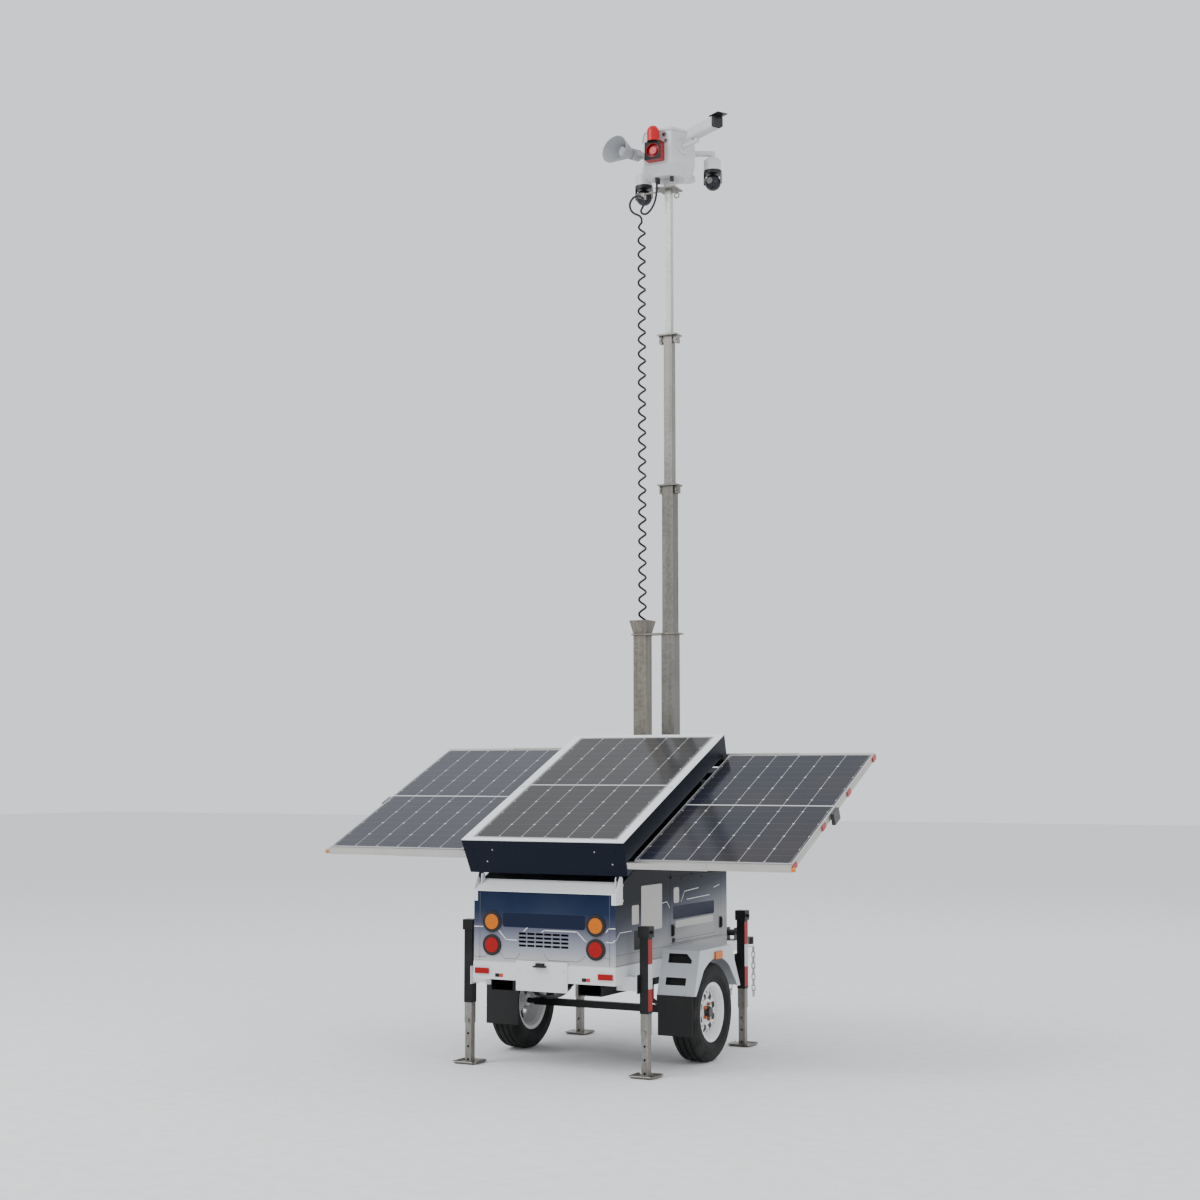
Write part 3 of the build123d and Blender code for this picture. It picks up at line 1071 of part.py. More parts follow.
def make_ptz():
    """The turning ring and the tilting eye of each hanging camera."""
    for name, way in PTZ_WAY.items():
        x, y = way[0] * PTZ_REACH, MAST_Y + way[1] * PTZ_REACH
        top = PTZ_TOP[name] - PTZ_HOUSING - PAD_GAP
        low = top - PTZ_RING
        centre = low - PTZ_DROP
        ring = rod((x, y, top), (x, y, low), PTZ_RADIUS + 2)
        ring -= Pos(x, y, centre) * Sphere(PTZ_BALL_RADIUS + PAD_GAP)
        cheeks = [block(tuple(sorted((x + sign * (PTZ_RADIUS - 3), x + sign * (PTZ_RADIUS + 2)))),
                        centred(y, 34), (centre - 14, low + 4)) for sign in (1, -1)]
        axle = rod((x - PTZ_RADIUS, y, centre), (x + PTZ_RADIUS, y, centre), 5)
        write(f"ptz_ring_{name}", ring + cheeks[0] + cheeks[1] + axle)
        ball = Pos(x, y, centre) * Sphere(PTZ_BALL_RADIUS)
        ball -= rod((x - 80, y, centre), (x + 80, y, centre), 5 + SHAFT_GAP)
        window = rod((x, y - PTZ_BALL_RADIUS + 18, centre), (x, y - PTZ_BALL_RADIUS - 2, centre), 26)
        write(f"ptz_eye_{name}", ball + window)


def main():
    """Build and write every node."""
    os.makedirs("parts", exist_ok=True)
    make_chassis()
    make_bumper()
    make_lamps()
    make_cabinet()
    make_rear_cap()
    make_door()
    make_power_bank()
    make_axle()
    for name, sign in SIDES.items():
        make_wheel(name, sign)
    make_fenders()
    make_jacks()
    make_array_box()
    make_array_top()
    make_slides()
    make_mast()
    make_cord_tube()
    make_cord()
    make_winch()
    make_coupler()
    make_head()
    make_sounder()
    make_horn()
    make_bullet()
    make_ptz()


main()
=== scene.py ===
"""Looks of a towable solar surveillance tower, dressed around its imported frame.

Everything is in metres in the frame's own axes: X right seen from behind, Y forward to
the coupler and Z up. Each sub-assembly is a class that builds and finishes its pieces.
"""

import logging
import math
from dataclasses import dataclass, field
from enum import Enum
from typing import Any, Iterable, Mapping, Sequence, Union

import bpy
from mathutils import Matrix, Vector


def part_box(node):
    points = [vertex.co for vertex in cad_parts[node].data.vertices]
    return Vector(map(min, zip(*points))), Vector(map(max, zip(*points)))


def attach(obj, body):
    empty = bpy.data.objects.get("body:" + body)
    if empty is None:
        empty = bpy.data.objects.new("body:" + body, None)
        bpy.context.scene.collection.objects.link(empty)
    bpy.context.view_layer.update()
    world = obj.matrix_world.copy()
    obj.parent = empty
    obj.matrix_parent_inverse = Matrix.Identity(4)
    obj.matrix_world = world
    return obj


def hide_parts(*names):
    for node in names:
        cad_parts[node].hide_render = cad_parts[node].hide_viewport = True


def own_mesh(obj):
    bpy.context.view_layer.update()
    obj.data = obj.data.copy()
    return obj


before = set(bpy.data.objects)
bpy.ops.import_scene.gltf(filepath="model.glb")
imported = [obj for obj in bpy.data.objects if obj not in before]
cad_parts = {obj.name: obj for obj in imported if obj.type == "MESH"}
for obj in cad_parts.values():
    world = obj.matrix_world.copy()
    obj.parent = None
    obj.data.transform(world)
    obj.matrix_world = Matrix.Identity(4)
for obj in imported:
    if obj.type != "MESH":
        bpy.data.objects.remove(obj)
LOG = logging.getLogger("tower")
Colour = tuple[float, float, float]
Point = tuple[float, float, float]
Pair = tuple[float, float]

# Places in the frame: the cabinet's rear face, the mast's axis, the array's lower edge
# and slope, and the axle. A pair is Y and Z.
REAR_Y = -1.7865
MAST_Y = 0.2625
ARRAY_EDGE: Pair = (-1.8335, 1.567)
ARRAY_TILT = math.radians(24.0)
AXLE: Pair = (-0.7905, 0.347)
BUMP_STRENGTH = 0.6


class Axis(Enum):
    """The axes of the frame."""

    X = 0
    Y = 1
    Z = 2


class Kind(Enum):
    """Shader nodes that the finishes use."""

    MATH = "ShaderNodeMath"
    MIX = "ShaderNodeMix"
    RAMP = "ShaderNodeValToRGB"
    NOISE = "ShaderNodeTexNoise"
    CELLS = "ShaderNodeTexVoronoi"
    PLACE = "ShaderNodeTexCoord"
    SPLIT = "ShaderNodeSeparateXYZ"
    MAPPING = "ShaderNodeMapping"
    BUMP = "ShaderNodeBump"
    SHADER = "ShaderNodeBsdfPrincipled"
    OUTPUT = "ShaderNodeOutputMaterial"


Value = Union["Wire", float]


class Wire:
    """A node's output socket that takes part in arithmetic."""

    def __init__(self, graph: "Graph", socket: bpy.types.NodeSocket) -> None:
        """Keep the graph and the socket.

        Args:
            graph: The graph that new nodes are added to.
            socket: The output socket that holds this value.
        """
        self.graph = graph
        self.socket = socket

    def _math(self, operation: str, left: Value, right: Value = 0.0) -> "Wire":
        """Add one Math node.

        Args:
            operation: The Math node's operation.
            left: The first value.
            right: The second value.

        Returns:
            The result.
        """
        return self.graph.node(Kind.MATH, {"operation": operation}, {0: left, 1: right})

    def __add__(self, other: Value) -> "Wire":
        """Sum."""
        return self._math("ADD", self, other)

    __radd__ = __add__

    def __sub__(self, other: Value) -> "Wire":
        """Difference."""
        return self._math("SUBTRACT", self, other)

    def __rsub__(self, other: Value) -> "Wire":
        """Difference with this value second."""
        return self._math("SUBTRACT", other, self)

    def __mul__(self, other: Value) -> "Wire":
        """Product."""
        return self._math("MULTIPLY", self, other)

    __rmul__ = __mul__

    def __truediv__(self, other: Value) -> "Wire":
        """Quotient."""
        return self._math("DIVIDE", self, other)

    def __rtruediv__(self, other: Value) -> "Wire":
        """Quotient with this value second."""
        return self._math("DIVIDE", other, self)

    def __gt__(self, other: Value) -> "Wire":
        """One where this value is larger."""
        return self._math("GREATER_THAN", self, other)

    def __lt__(self, other: Value) -> "Wire":
        """One where this value is smaller."""
        return self._math("LESS_THAN", self, other)

    def __abs__(self) -> "Wire":
        """Size without sign."""
        return self._math("ABSOLUTE", self)

    def root(self) -> "Wire":
        """Square root."""
        return self._math("SQRT", self)

    def sweep(self, other: Value) -> "Wire":
        """Angle in radians of the direction (other, this value)."""
        return self._math("ARCTAN2", self, other)

    def fraction(self) -> "Wire":
        """The part after the decimal point."""
        return self._math("FRACT", self)

    def either(self, other: Value) -> "Wire":
        """The larger of two masks."""
        return self._math("MAXIMUM", self, other)

    def between(self, low: float, high: float) -> "Wire":
        """One between two limits."""
        return (self > low) * (self < high)


@dataclass(frozen=True)
class Place:
    """The three coordinates of a surface point at rest, and the vector they come from."""

    vector: Wire
    x: Wire
    y: Wire
    z: Wire

    def upslope(self) -> Wire:
        """Distance up the array from its lower edge."""
        along = (self.y - ARRAY_EDGE[0]) * math.cos(ARRAY_TILT)
        return along + (self.z - ARRAY_EDGE[1]) * math.sin(ARRAY_TILT)


class Graph:
    """The node tree of one material."""

    def __init__(self, name: str) -> None:
        """Make an empty material.

        Args:
            name: The material's name.
        """
        self.material = bpy.data.materials.new(name)
        self.material.use_nodes = True
        self.tree = self.material.node_tree
        self.tree.nodes.clear()

    def node(self, kind: Kind, settings: Mapping[str, Any], inputs: Mapping[Any, Any],
             output: Union[int, str] = 0) -> Wire:
        """Add a node, set it and feed it.

        Args:
            kind: Which node to add.
            settings: Its settings; "stops" are a ramp's (position, colour) pairs.
            inputs: Socket values or links by name or index.
            output: The output socket to return.

        Returns:
            The chosen output.
        """
        made = self.tree.nodes.new(kind.value)
        for key, value in settings.items():
            if key == "stops":
                elements = made.color_ramp.elements
                while len(elements) < len(value):
                    elements.new(1.0)
                for element, (position, colour) in zip(elements, value):
                    element.position, element.color = position, (*colour, 1.0)
            else:
                setattr(made, key, value)
        for key, value in inputs.items():
            if isinstance(value, Wire):
                self.tree.links.new(value.socket, made.inputs[key])
            else:
                made.inputs[key].default_value = value
        return Wire(self, made.outputs[output] if made.outputs else None)

    def place(self) -> Place:
        """The surface point in the frame's axes."""
        vector = self.node(Kind.PLACE, {}, {}, "Object")
        axes = [self.node(Kind.SPLIT, {}, {0: vector}, axis.value) for axis in Axis]
        return Place(vector, *axes)

    def noise(self, place: Place, scale: float, detail: float = 4.0) -> Wire:
        """Fractal noise over the surface, from about 0.3 to 0.7."""
        return self.node(Kind.NOISE, {}, {"Vector": place.vector, "Scale": scale, "Detail": detail}, "Fac")

    def streaks(self, place: Place, scale: Point) -> Wire:
        """Noise drawn out along the axis whose scale is small."""
        drawn = self.node(Kind.MAPPING, {}, {"Vector": place.vector, "Scale": scale})
        return self.node(Kind.NOISE, {}, {"Vector": drawn, "Scale": 1.0, "Detail": 5.0}, "Fac")

    def ramp(self, value: Wire, stops: Sequence[tuple[float, Colour]]) -> Wire:
        """A colour ramp over a value from 0 to 1."""
        return self.node(Kind.RAMP, {"stops": stops}, {0: value})

    def mix(self, mask: Value, low: Any, high: Any) -> Wire:
        """Blend two colours by a mask.

        Args:
            mask: Zero for the first and one for the second.
            low: The first colour or wire.
            high: The second colour or wire.

        Returns:
            The blended colour.
        """
        ends = [end if isinstance(end, Wire) else (*end, 1.0) for end in (low, high)]
        return self.node(Kind.MIX, {"data_type": "RGBA"}, {0: mask, 6: ends[0], 7: ends[1]}, 2)

    def close(self, base: Any, roughness: Value, metallic: Value = 0.0, height: Union[Wire, None] = None,
              depth: float = 0.001, **constants: Any) -> bpy.types.Material:
        """Finish the material with its shader.

        Args:
            base: Base colour.
            roughness: Roughness.
            metallic: Metallic share.
            height: Relief that bumps the surface, from 0 to 1.
            depth: The relief's depth in metres.
            constants: Shader sockets that are the same all over, with _ for a space.

        Returns:
            The material.
        """
        inputs: dict[str, Any] = {
            "Base Color": base if isinstance(base, Wire) else (*base, 1.0),
            "Roughness": roughness, "Metallic": metallic,
        }
        if height is not None:
            relief = {"Height": height, "Distance": depth, "Strength": BUMP_STRENGTH}
            inputs["Normal"] = self.node(Kind.BUMP, {}, relief)
        inputs.update({key.replace("_", " "): value for key, value in constants.items()})
        shader = self.node(Kind.SHADER, {}, inputs)
        self.node(Kind.OUTPUT, {}, {"Surface": shader})
        return self.material


def grey(level: float) -> Colour:
    """A neutral colour."""
    return (level, level, level)


def sleeve(base: int, rings: int, sides: int) -> list[list[int]]:
    """Join rings of vertices into a tube's wall.

    Args:
        base: Index of the first vertex.
        rings: How many rings follow each other.
        sides: Vertices in each ring.

    Returns:
        The wall's faces.
    """
    faces: list[list[int]] = []
    for row in range(base, base + (rings - 1) * sides, sides):
        for k in range(sides):
            beside = (k + 1) % sides
            faces.append([row + k, row + beside, row + sides + beside, row + sides + k])
    return faces


@dataclass(frozen=True)
class Finish:
    """A surface finish with a name of its own."""

    name: str

    def begin(self) -> tuple[Graph, Place]:
        """An empty material and the surface point in it."""
        g = Graph(self.name)
        return g, g.place()

    def material(self) -> bpy.types.Material:
        """Build the finish; each kind has its own."""
        raise NotImplementedError


@dataclass(frozen=True)
class Paint(Finish):
    """Sprayed paint with faint dust, orange peel and rain streaks."""

    colour: Colour
    roughness: float = 0.38
    dust: float = 0.10
    gloss: float = 0.5

    def material(self) -> bpy.types.Material:
        """Build the finish.

        Returns:
            The material.
        """
        g, place = self.begin()
        patches, peel = g.noise(place, 5.0), g.noise(place, 420.0, 2.0)
        rain = g.streaks(place, (26.0, 26.0, 1.2))
        soil = (patches - 0.35) * self.dust * 2.0 + (rain - 0.4) * self.dust
        dirty = tuple(c * 0.62 + 0.02 for c in self.colour)
        base = g.mix(soil, self.colour, dirty)
        return g.close(base, self.roughness + (patches - 0.5) * 0.2, 0.0, peel, 0.0003,
                       Specular_IOR_Level=self.gloss)


@dataclass(frozen=True)
class Steel(Finish):
    """Galvanised or zinc-plated steel with spangle, dull patches and drawn streaks."""

    light: Colour
    dark: Colour
    spangle: float = 60.0
    roughness: float = 0.45

    def material(self) -> bpy.types.Material:
        """Build the finish.

        Returns:
            The material.
        """
        g, place = self.begin()
        crystals = g.node(Kind.CELLS, {}, {"Vector": place.vector, "Scale": self.spangle}, "Color")
        tone = g.node(Kind.SPLIT, {}, {0: crystals}, 0)
        rain, patches = g.streaks(place, (34.0, 34.0, 0.9)), g.noise(place, 3.0)
        share = tone * 0.30 + rain * 0.8 + patches * 0.5 - 0.45
        base = g.mix(share, self.dark, self.light)
        return g.close(base, self.roughness + (tone - 0.5) * 0.14, 0.75, patches + tone * 0.2, 0.0006)


@dataclass(frozen=True)
class Moulded(Finish):
    """Moulded plastic or rubber with a fine grain."""

    colour: Colour
    roughness: float = 0.5
    grain: float = 500.0
    relief: float = 0.0002
    gloss: float = 0.3

    def material(self) -> bpy.types.Material:
        """Build the finish.

        Returns:
            The material.
        """
        g, place = self.begin()
        grain, patches = g.noise(place, self.grain, 2.0), g.noise(place, 9.0)
        worn = tuple(c * 0.8 + 0.015 for c in self.colour)
        base = g.mix((patches - 0.4) * 1.2, self.colour, worn)
        return g.close(base, self.roughness + (patches - 0.5) * 0.2, 0.0, grain, self.relief,
                       Specular_IOR_Level=self.gloss)


@dataclass(frozen=True)
class Lens(Finish):
    """Ribbed signal lens."""

    colour: Colour
    ribs: float = 120.0

    def material(self) -> bpy.types.Material:
        """Build the finish.

        Returns:
            The material.
        """
        g, place = self.begin()
        rows = (place.x * self.ribs).fraction()
        columns = (place.z * self.ribs).fraction()
        pebble = abs(rows - 0.5) * abs(columns - 0.5) * 4.0
        deep = tuple(c * 0.45 for c in self.colour)
        base = g.mix(pebble, self.colour, deep)
        return g.close(base, 0.22, 0.0, pebble, 0.0012, Specular_IOR_Level=0.25)


@dataclass(frozen=True)
class Wrap(Finish):
    """Printed cabinet wrap that fades from navy at the top to pale grey at the bottom; on the sides the
    near-black top is painted shadow of the trays over the print.
    """

    name: str = "cabinet_wrap"
    low: float = 0.734
    rear_high: float = 1.217
    side_high: float = 1.20
    rise: float = 0.13

    def material(self) -> bpy.types.Material:
        """Build the finish.

        Returns:
            The material.
        """
        g, place = self.begin()
        back = place.y < REAR_Y + 0.004
        rear = (place.z - self.low) / (self.rear_high - self.low)
        slant = place.z - (place.y - REAR_Y) * self.rise - self.low
        side = slant / (self.side_high - self.low)
        rear_print = g.ramp(rear, [
            (0.0, grey(0.46)), (0.22, (0.27, 0.28, 0.33)), (0.45, (0.125, 0.13, 0.175)),
            (0.56, (0.05, 0.055, 0.095)), (0.72, (0.013, 0.024, 0.055)), (0.95, (0.006, 0.014, 0.040)),
        ])
        # Side ramp: print that darkens upwards, then painted shadow of the trays in the near-black top band.
        side_print_and_shadow = g.ramp(side, [
            (0.0, grey(0.36)), (0.20, (0.22, 0.225, 0.245)), (0.42, (0.10, 0.105, 0.13)),
            (0.62, (0.028, 0.032, 0.048)), (0.84, (0.004, 0.005, 0.009)),
        ])
        fade = g.noise(place, 3.0)
        print_and_shadow = g.mix(back, side_print_and_shadow, rear_print)
        base = g.mix((fade - 0.42) * 0.12, print_and_shadow, grey(0.22))
        film = g.noise(place, 300.0, 2.0)
        return g.close(base, 0.34 + (fade - 0.5) * 0.2, 0.0, film, 0.0002, Specular_IOR_Level=0.08)


@dataclass(frozen=True)
class Cells(Finish):
    """Solar laminate: six columns of half cells with grid lines, busbars and an aluminium frame."""

    left: float
    cell: Colour
    sheen: Colour
    width: float = 1.134
    length: float = 1.762
    start: float = 0.046
    edge: float = 0.012
    margin: float = 0.022
    columns: int = 6
    rows: int = 18
    busbars: int = 10
    busbar: float = 0.035
    column_gap: float = 0.0017
    row_gap: float = 0.0007
    diamond: float = 0.010
    bridge: float = 0.007

    def inside(self, u: Wire, v: Wire, inset: float) -> Wire:
        """One where the module's edges are further off than the inset."""
        return u.between(inset, self.width - inset) * v.between(inset, self.length - inset)

    def material(self) -> bpy.types.Material:
        """Build the finish.

        Returns:
            The material.
        """
        g, place = self.begin()
        u, v = place.x - self.left, place.upslope() - self.start
        laminate = self.inside(u, v, self.edge)
        pitch_u = (self.width - 2 * self.margin) / self.columns
        pitch_v = (self.length - 2 * self.margin) / self.rows
        across = ((u - self.margin) / pitch_u).fraction()
        upward = ((v - self.margin) / pitch_v).fraction()
        off_u = (0.5 - abs(across - 0.5)) * pitch_u
        off_v = (0.5 - abs(upward - 0.5)) * pitch_v
        middle = abs(v - self.length / 2)
        pair = ((v - self.margin) / (2 * pitch_v)).fraction()
        off_pair = (0.5 - abs(pair - 0.5)) * 2 * pitch_v
        rim = 1.0 - self.inside(u, v, self.margin)
        columns = (off_u < self.column_gap) * (1.0 - rim)
        rows = off_v < self.row_gap
        diamonds = ((off_u + off_pair) < self.diamond) * (1.0 - rim)
        centre = middle < self.bridge
        busbar = abs((u * (self.busbars / pitch_u)).fraction() - 0.5) < self.busbar
        patches = g.noise(place, 1.6)
        # Painted reflection: noise patches blend the cell colour towards a reflected sheen.
        cell = g.mix((patches - 0.4) * 2.0, self.cell, self.sheen)
        cell = g.mix(busbar * 0.10, cell, grey(0.4))
        cell = g.mix(rows * 0.25, cell, grey(0.4))
        cell = g.mix(rim * 0.5, cell, grey(0.03))
        cell = g.mix((columns * 0.7).either(diamonds).either(centre), cell, grey(0.62))
        brushed = g.streaks(place, (2.0, 300.0, 300.0))
        metal = g.mix(brushed, grey(0.45), grey(0.72))
        base = g.mix(laminate, metal, cell)
        frame_only = 1.0 - laminate
        return g.close(base, 0.13 + frame_only * 0.28, frame_only * 0.8, brushed * frame_only, 0.0003,
                       Specular_IOR_Level=0.14)


@dataclass(frozen=True)
class Anodised(Finish):
    """Extruded aluminium with fine lines along X."""

    colour: Colour = (0.66, 0.65, 0.62)

    def material(self) -> bpy.types.Material:
        """Build the finish.

        Returns:
            The material.
        """
        g, place = self.begin()
        lines, patches = g.streaks(place, (2.0, 260.0, 260.0)), g.noise(place, 4.0)
        base = g.mix(lines * 0.6 + patches * 0.4, tuple(c * 0.55 for c in self.colour), self.colour)
        return g.close(base, 0.34 + (patches - 0.5) * 0.2, 0.85, lines, 0.0003)


@dataclass(frozen=True)
class Taped(Finish):
    """Black jack tube with red and white reflective tape down its outer face."""

    name: str = "taped_tube"
    face: float = 0.7228
    low: float = 0.44
    high: float = 0.915
    band: float = 0.165

    def material(self) -> bpy.types.Material:
        """Build the finish.

        Returns:
            The material.
        """
        g, place = self.begin()
        outer = (abs(place.x) > self.face) * place.z.between(self.low, self.high)
        red = ((self.high - place.z) / (2 * self.band)).fraction() < 0.5
        honeycomb = g.node(Kind.CELLS, {}, {"Vector": place.vector, "Scale": 240.0}, "Distance")
        tape = g.mix(red, grey(0.55), (0.30, 0.012, 0.012))
        patches = g.noise(place, 7.0)
        black = g.mix((patches - 0.4) * 1.2, grey(0.012), grey(0.035))
        base = g.mix(outer, black, tape)
        return g.close(base, 0.38 + (patches - 0.5) * 0.2, 0.0, honeycomb * outer, 0.0004,
                       Specular_IOR_Level=0.15)


@dataclass(frozen=True)
class Tyre(Finish):
    """Rubber with a ribbed sidewall round the wheel's centre."""

    name: str = "tyre_rubber"
    ribs: float = 130.0
    sidewall: float = 0.30

    def material(self) -> bpy.types.Material:
        """Build the finish.

        Returns:
            The material.
        """
        g, place = self.begin()
        dy, dz = place.y - AXLE[0], place.z - AXLE[1]
        radius = (dy * dy + dz * dz).root()
        ribs = abs((radius * self.ribs).fraction() - 0.5) * (radius < self.sidewall)
        dust = g.noise(place, 12.0)
        base = g.mix((dust - 0.42) * 1.5, grey(0.014), (0.05, 0.048, 0.045))
        return g.close(base, 0.72 + (dust - 0.5) * 0.2, 0.0, ribs + dust * 0.3, 0.0015,
                       Specular_IOR_Level=0.2)


@dataclass(frozen=True)
class Wheel(Finish):
    """White pressed wheel with a dark hub, rusty nuts and painted shade in its windows."""

    name: str = "wheel_paint"
    hub: float = 0.0425
    hub_face: float = 0.765
    nuts: Pair = (0.0455, 0.069)
    nut_face: float = 0.7685
    windows: int = 8
    window: Pair = (0.092, 0.158)
    window_tip: float = 0.160
    window_taper: float = 5.5
    disc_face: float = 0.70

    def material(self) -> bpy.types.Material:
        """Build the finish.

        Returns:
            The material.
        """
        g, place = self.begin()
        dy, dz = place.y - AXLE[0], place.z - AXLE[1]
        square = dy * dy + dz * dz
        outward = abs(place.x)
        nuts = square.between(self.nuts[0] ** 2, self.nuts[1] ** 2) * (outward > self.nut_face)
        hub = (square < self.hub ** 2) * (outward > self.hub_face)
        radius = square.root()
        spoke = abs((dy.sweep(dz) * (self.windows / (2 * math.pi))).fraction() - 0.5)
        wedge = spoke < (self.window_tip - radius) * self.window_taper
        windows = radius.between(*self.window) * wedge * (outward > self.disc_face)
        patches = g.noise(place, 8.0)
        base = g.mix((patches - 0.4) * 0.6, grey(0.76), grey(0.42))
        # Painted shade: the window openings are painted near black for the shade seen through them.
        base = g.mix(windows, base, grey(0.010))
        base = g.mix(hub, base, (0.03, 0.028, 0.026))
        base = g.mix(nuts, base, (0.42, 0.12, 0.035))
        return g.close(base, 0.36 + nuts * 0.3, 0.0, patches, 0.0005)


@dataclass(frozen=True)
class HeadShell(Finish):
    """White head with painted shade in the well under it and black plugs behind, on a galvanised top plate.
    """

    name: str = "head_white"
    plate_top: float = 6.7405
    hopper: float = 6.812
    back: float = 0.0616
    mast_half: float = 0.0302
    well: Pair = (0.10, 0.12)
    plugs: tuple[Point, Point] = ((0.062, 7.120, 0.0185), (0.076, 7.067, 0.0155))

    def plug(self, place: Place, x: float, z: float, radius: float) -> Wire:
        """One on a round plug in the rear face."""
        dx, dz = place.x - x, place.z - z
        return (dx * dx + dz * dz < radius * radius) * (place.y < self.back - 0.001)

    def material(self) -> bpy.types.Material:
        """Build the finish.

        Returns:
            The material.
        """
        g, place = self.begin()
        off_x, off_y = abs(place.x), abs(place.y - MAST_Y)
        beside = (off_x > self.mast_half).either(off_y > self.mast_half)
        inner = (off_x < self.well[0]) * (off_y < self.well[1])
        # Painted shade: the well under the housing, round the mast, is painted near black.
        well_shade = beside * inner * place.z.between(self.plate_top, self.hopper - 0.0005)
        upper, lower = (self.plug(place, *spot) for spot in self.plugs)
        behind = upper.either(lower)
        patches = g.noise(place, 5.0)
        rain = g.streaks(place, (26.0, 26.0, 2.0))
        white = g.mix((patches - 0.4) * 0.5 + (rain - 0.45) * 0.4, (0.60, 0.615, 0.62), grey(0.36))
        # Near black for the painted shade in the well and for the real plugs behind.
        black = well_shade.either(behind)
        metal = place.z < self.plate_top
        zinc = g.mix(rain, (0.13, 0.115, 0.10), (0.32, 0.30, 0.27))
        base = g.mix(metal, g.mix(black, white, grey(0.012)), zinc)
        return g.close(base, 0.36 + metal * 0.15, metal * 0.6, patches, 0.0004)


@dataclass(frozen=True)
class Sounder(Finish):
    """Red beacon and sounder with a black bezel."""

    name: str = "signal_red"
    front: float = -0.0164
    centre: Pair = (-0.013, 6.981)
    lens: float = 0.056
    star: float = 0.030
    dome_foot: float = 7.0552

    def material(self) -> bpy.types.Material:
        """Build the finish.

        Returns:
            The material.
        """
        g, place = self.begin()
        dx, dz = place.x - self.centre[0], place.z - self.centre[1]
        square = dx * dx + dz * dz
        bezel = (place.y < self.front + 0.006) * (square > self.lens ** 2) * (place.z < self.dome_foot)
        rings = abs((square * 1800.0).fraction() - 0.5) * (square < self.lens ** 2)
        dome = place.z > self.dome_foot
        ribs = abs((place.x * 90.0).fraction() - 0.5) * dome
        star = (square < self.star ** 2) * (place.y < self.front + 0.02)
        red = g.mix(dome, g.mix(star, (0.30, 0.0, 0.004), (0.55, 0.05, 0.06)), (0.50, 0.004, 0.008))
        base = g.mix(bezel, red, grey(0.010))
        return g.close(base, 0.28 + bezel * 0.3, 0.0, rings + ribs, 0.0015, Specular_IOR_Level=0.3)


@dataclass(frozen=True)
class Bullet(Finish):
    """White camera body with a black front and hood."""

    name: str = "bullet_white"
    way: Pair = (math.sqrt(3) / 2, -0.5)
    front: float = 0.652
    hood_back: float = 0.612
    hood_foot: float = 7.1445

    def material(self) -> bpy.types.Material:
        """Build the finish.

        Returns:
            The material.
        """
        g, place = self.begin()
        along = place.x * self.way[0] + (place.y - MAST_Y) * self.way[1]
        hood = (along > self.hood_back) * (place.z > self.hood_foot)
        black = (along > self.front).either(hood)
        patches = g.noise(place, 6.0)
        white = g.mix((patches - 0.4) * 0.6, (0.58, 0.595, 0.60), grey(0.36))
        return g.close(g.mix(black, white, grey(0.010)), 0.36 - black * 0.14, 0.0, patches, 0.0003)


@dataclass(frozen=True)
class Slider(Finish):
    """Tray frame: aluminium with red reflectors, a black latch and amber corner markers."""

    name: str = "tray_aluminium"
    edge: float = 1.8042
    marker: float = 0.0262
    latch: Pair = (0.800, 0.920)

    def material(self) -> bpy.types.Material:
        """Build the finish.

        Returns:
            The material.
        """
        g, place = self.begin()
        v = place.upslope()
        trim = abs(place.x) > self.edge
        amber, latch = trim * (v < self.marker), trim * v.between(*self.latch)
        lines, patches = g.streaks(place, (2.0, 260.0, 260.0)), g.noise(place, 4.0)
        metal = g.mix(lines * 0.6 + patches * 0.4, (0.36, 0.35, 0.32), (0.70, 0.68, 0.63))
        base = g.mix(trim, metal, (0.33, 0.002, 0.003))
        base = g.mix(latch, g.mix(amber, base, (0.70, 0.17, 0.003)), grey(0.012))
        return g.close(base, 0.34 - trim * 0.1, 0.85 - trim * 0.85, lines, 0.0003)


# Finishes that more than one sub-assembly wears
BLACK_GLOSS = Paint("black_gloss_paint", grey(0.008), 0.35, 0.06, 0.25)
BRIGHT_ZINC = Steel("bright_zinc", (0.62, 0.61, 0.58), (0.34, 0.33, 0.31), 40.0, 0.32)
LAMP_RUBBER = Moulded("lamp_rubber", grey(0.014), 0.6)
CORD_JACKET = Moulded("cord_jacket", (0.012, 0.012, 0.013), 0.42, 300.0)


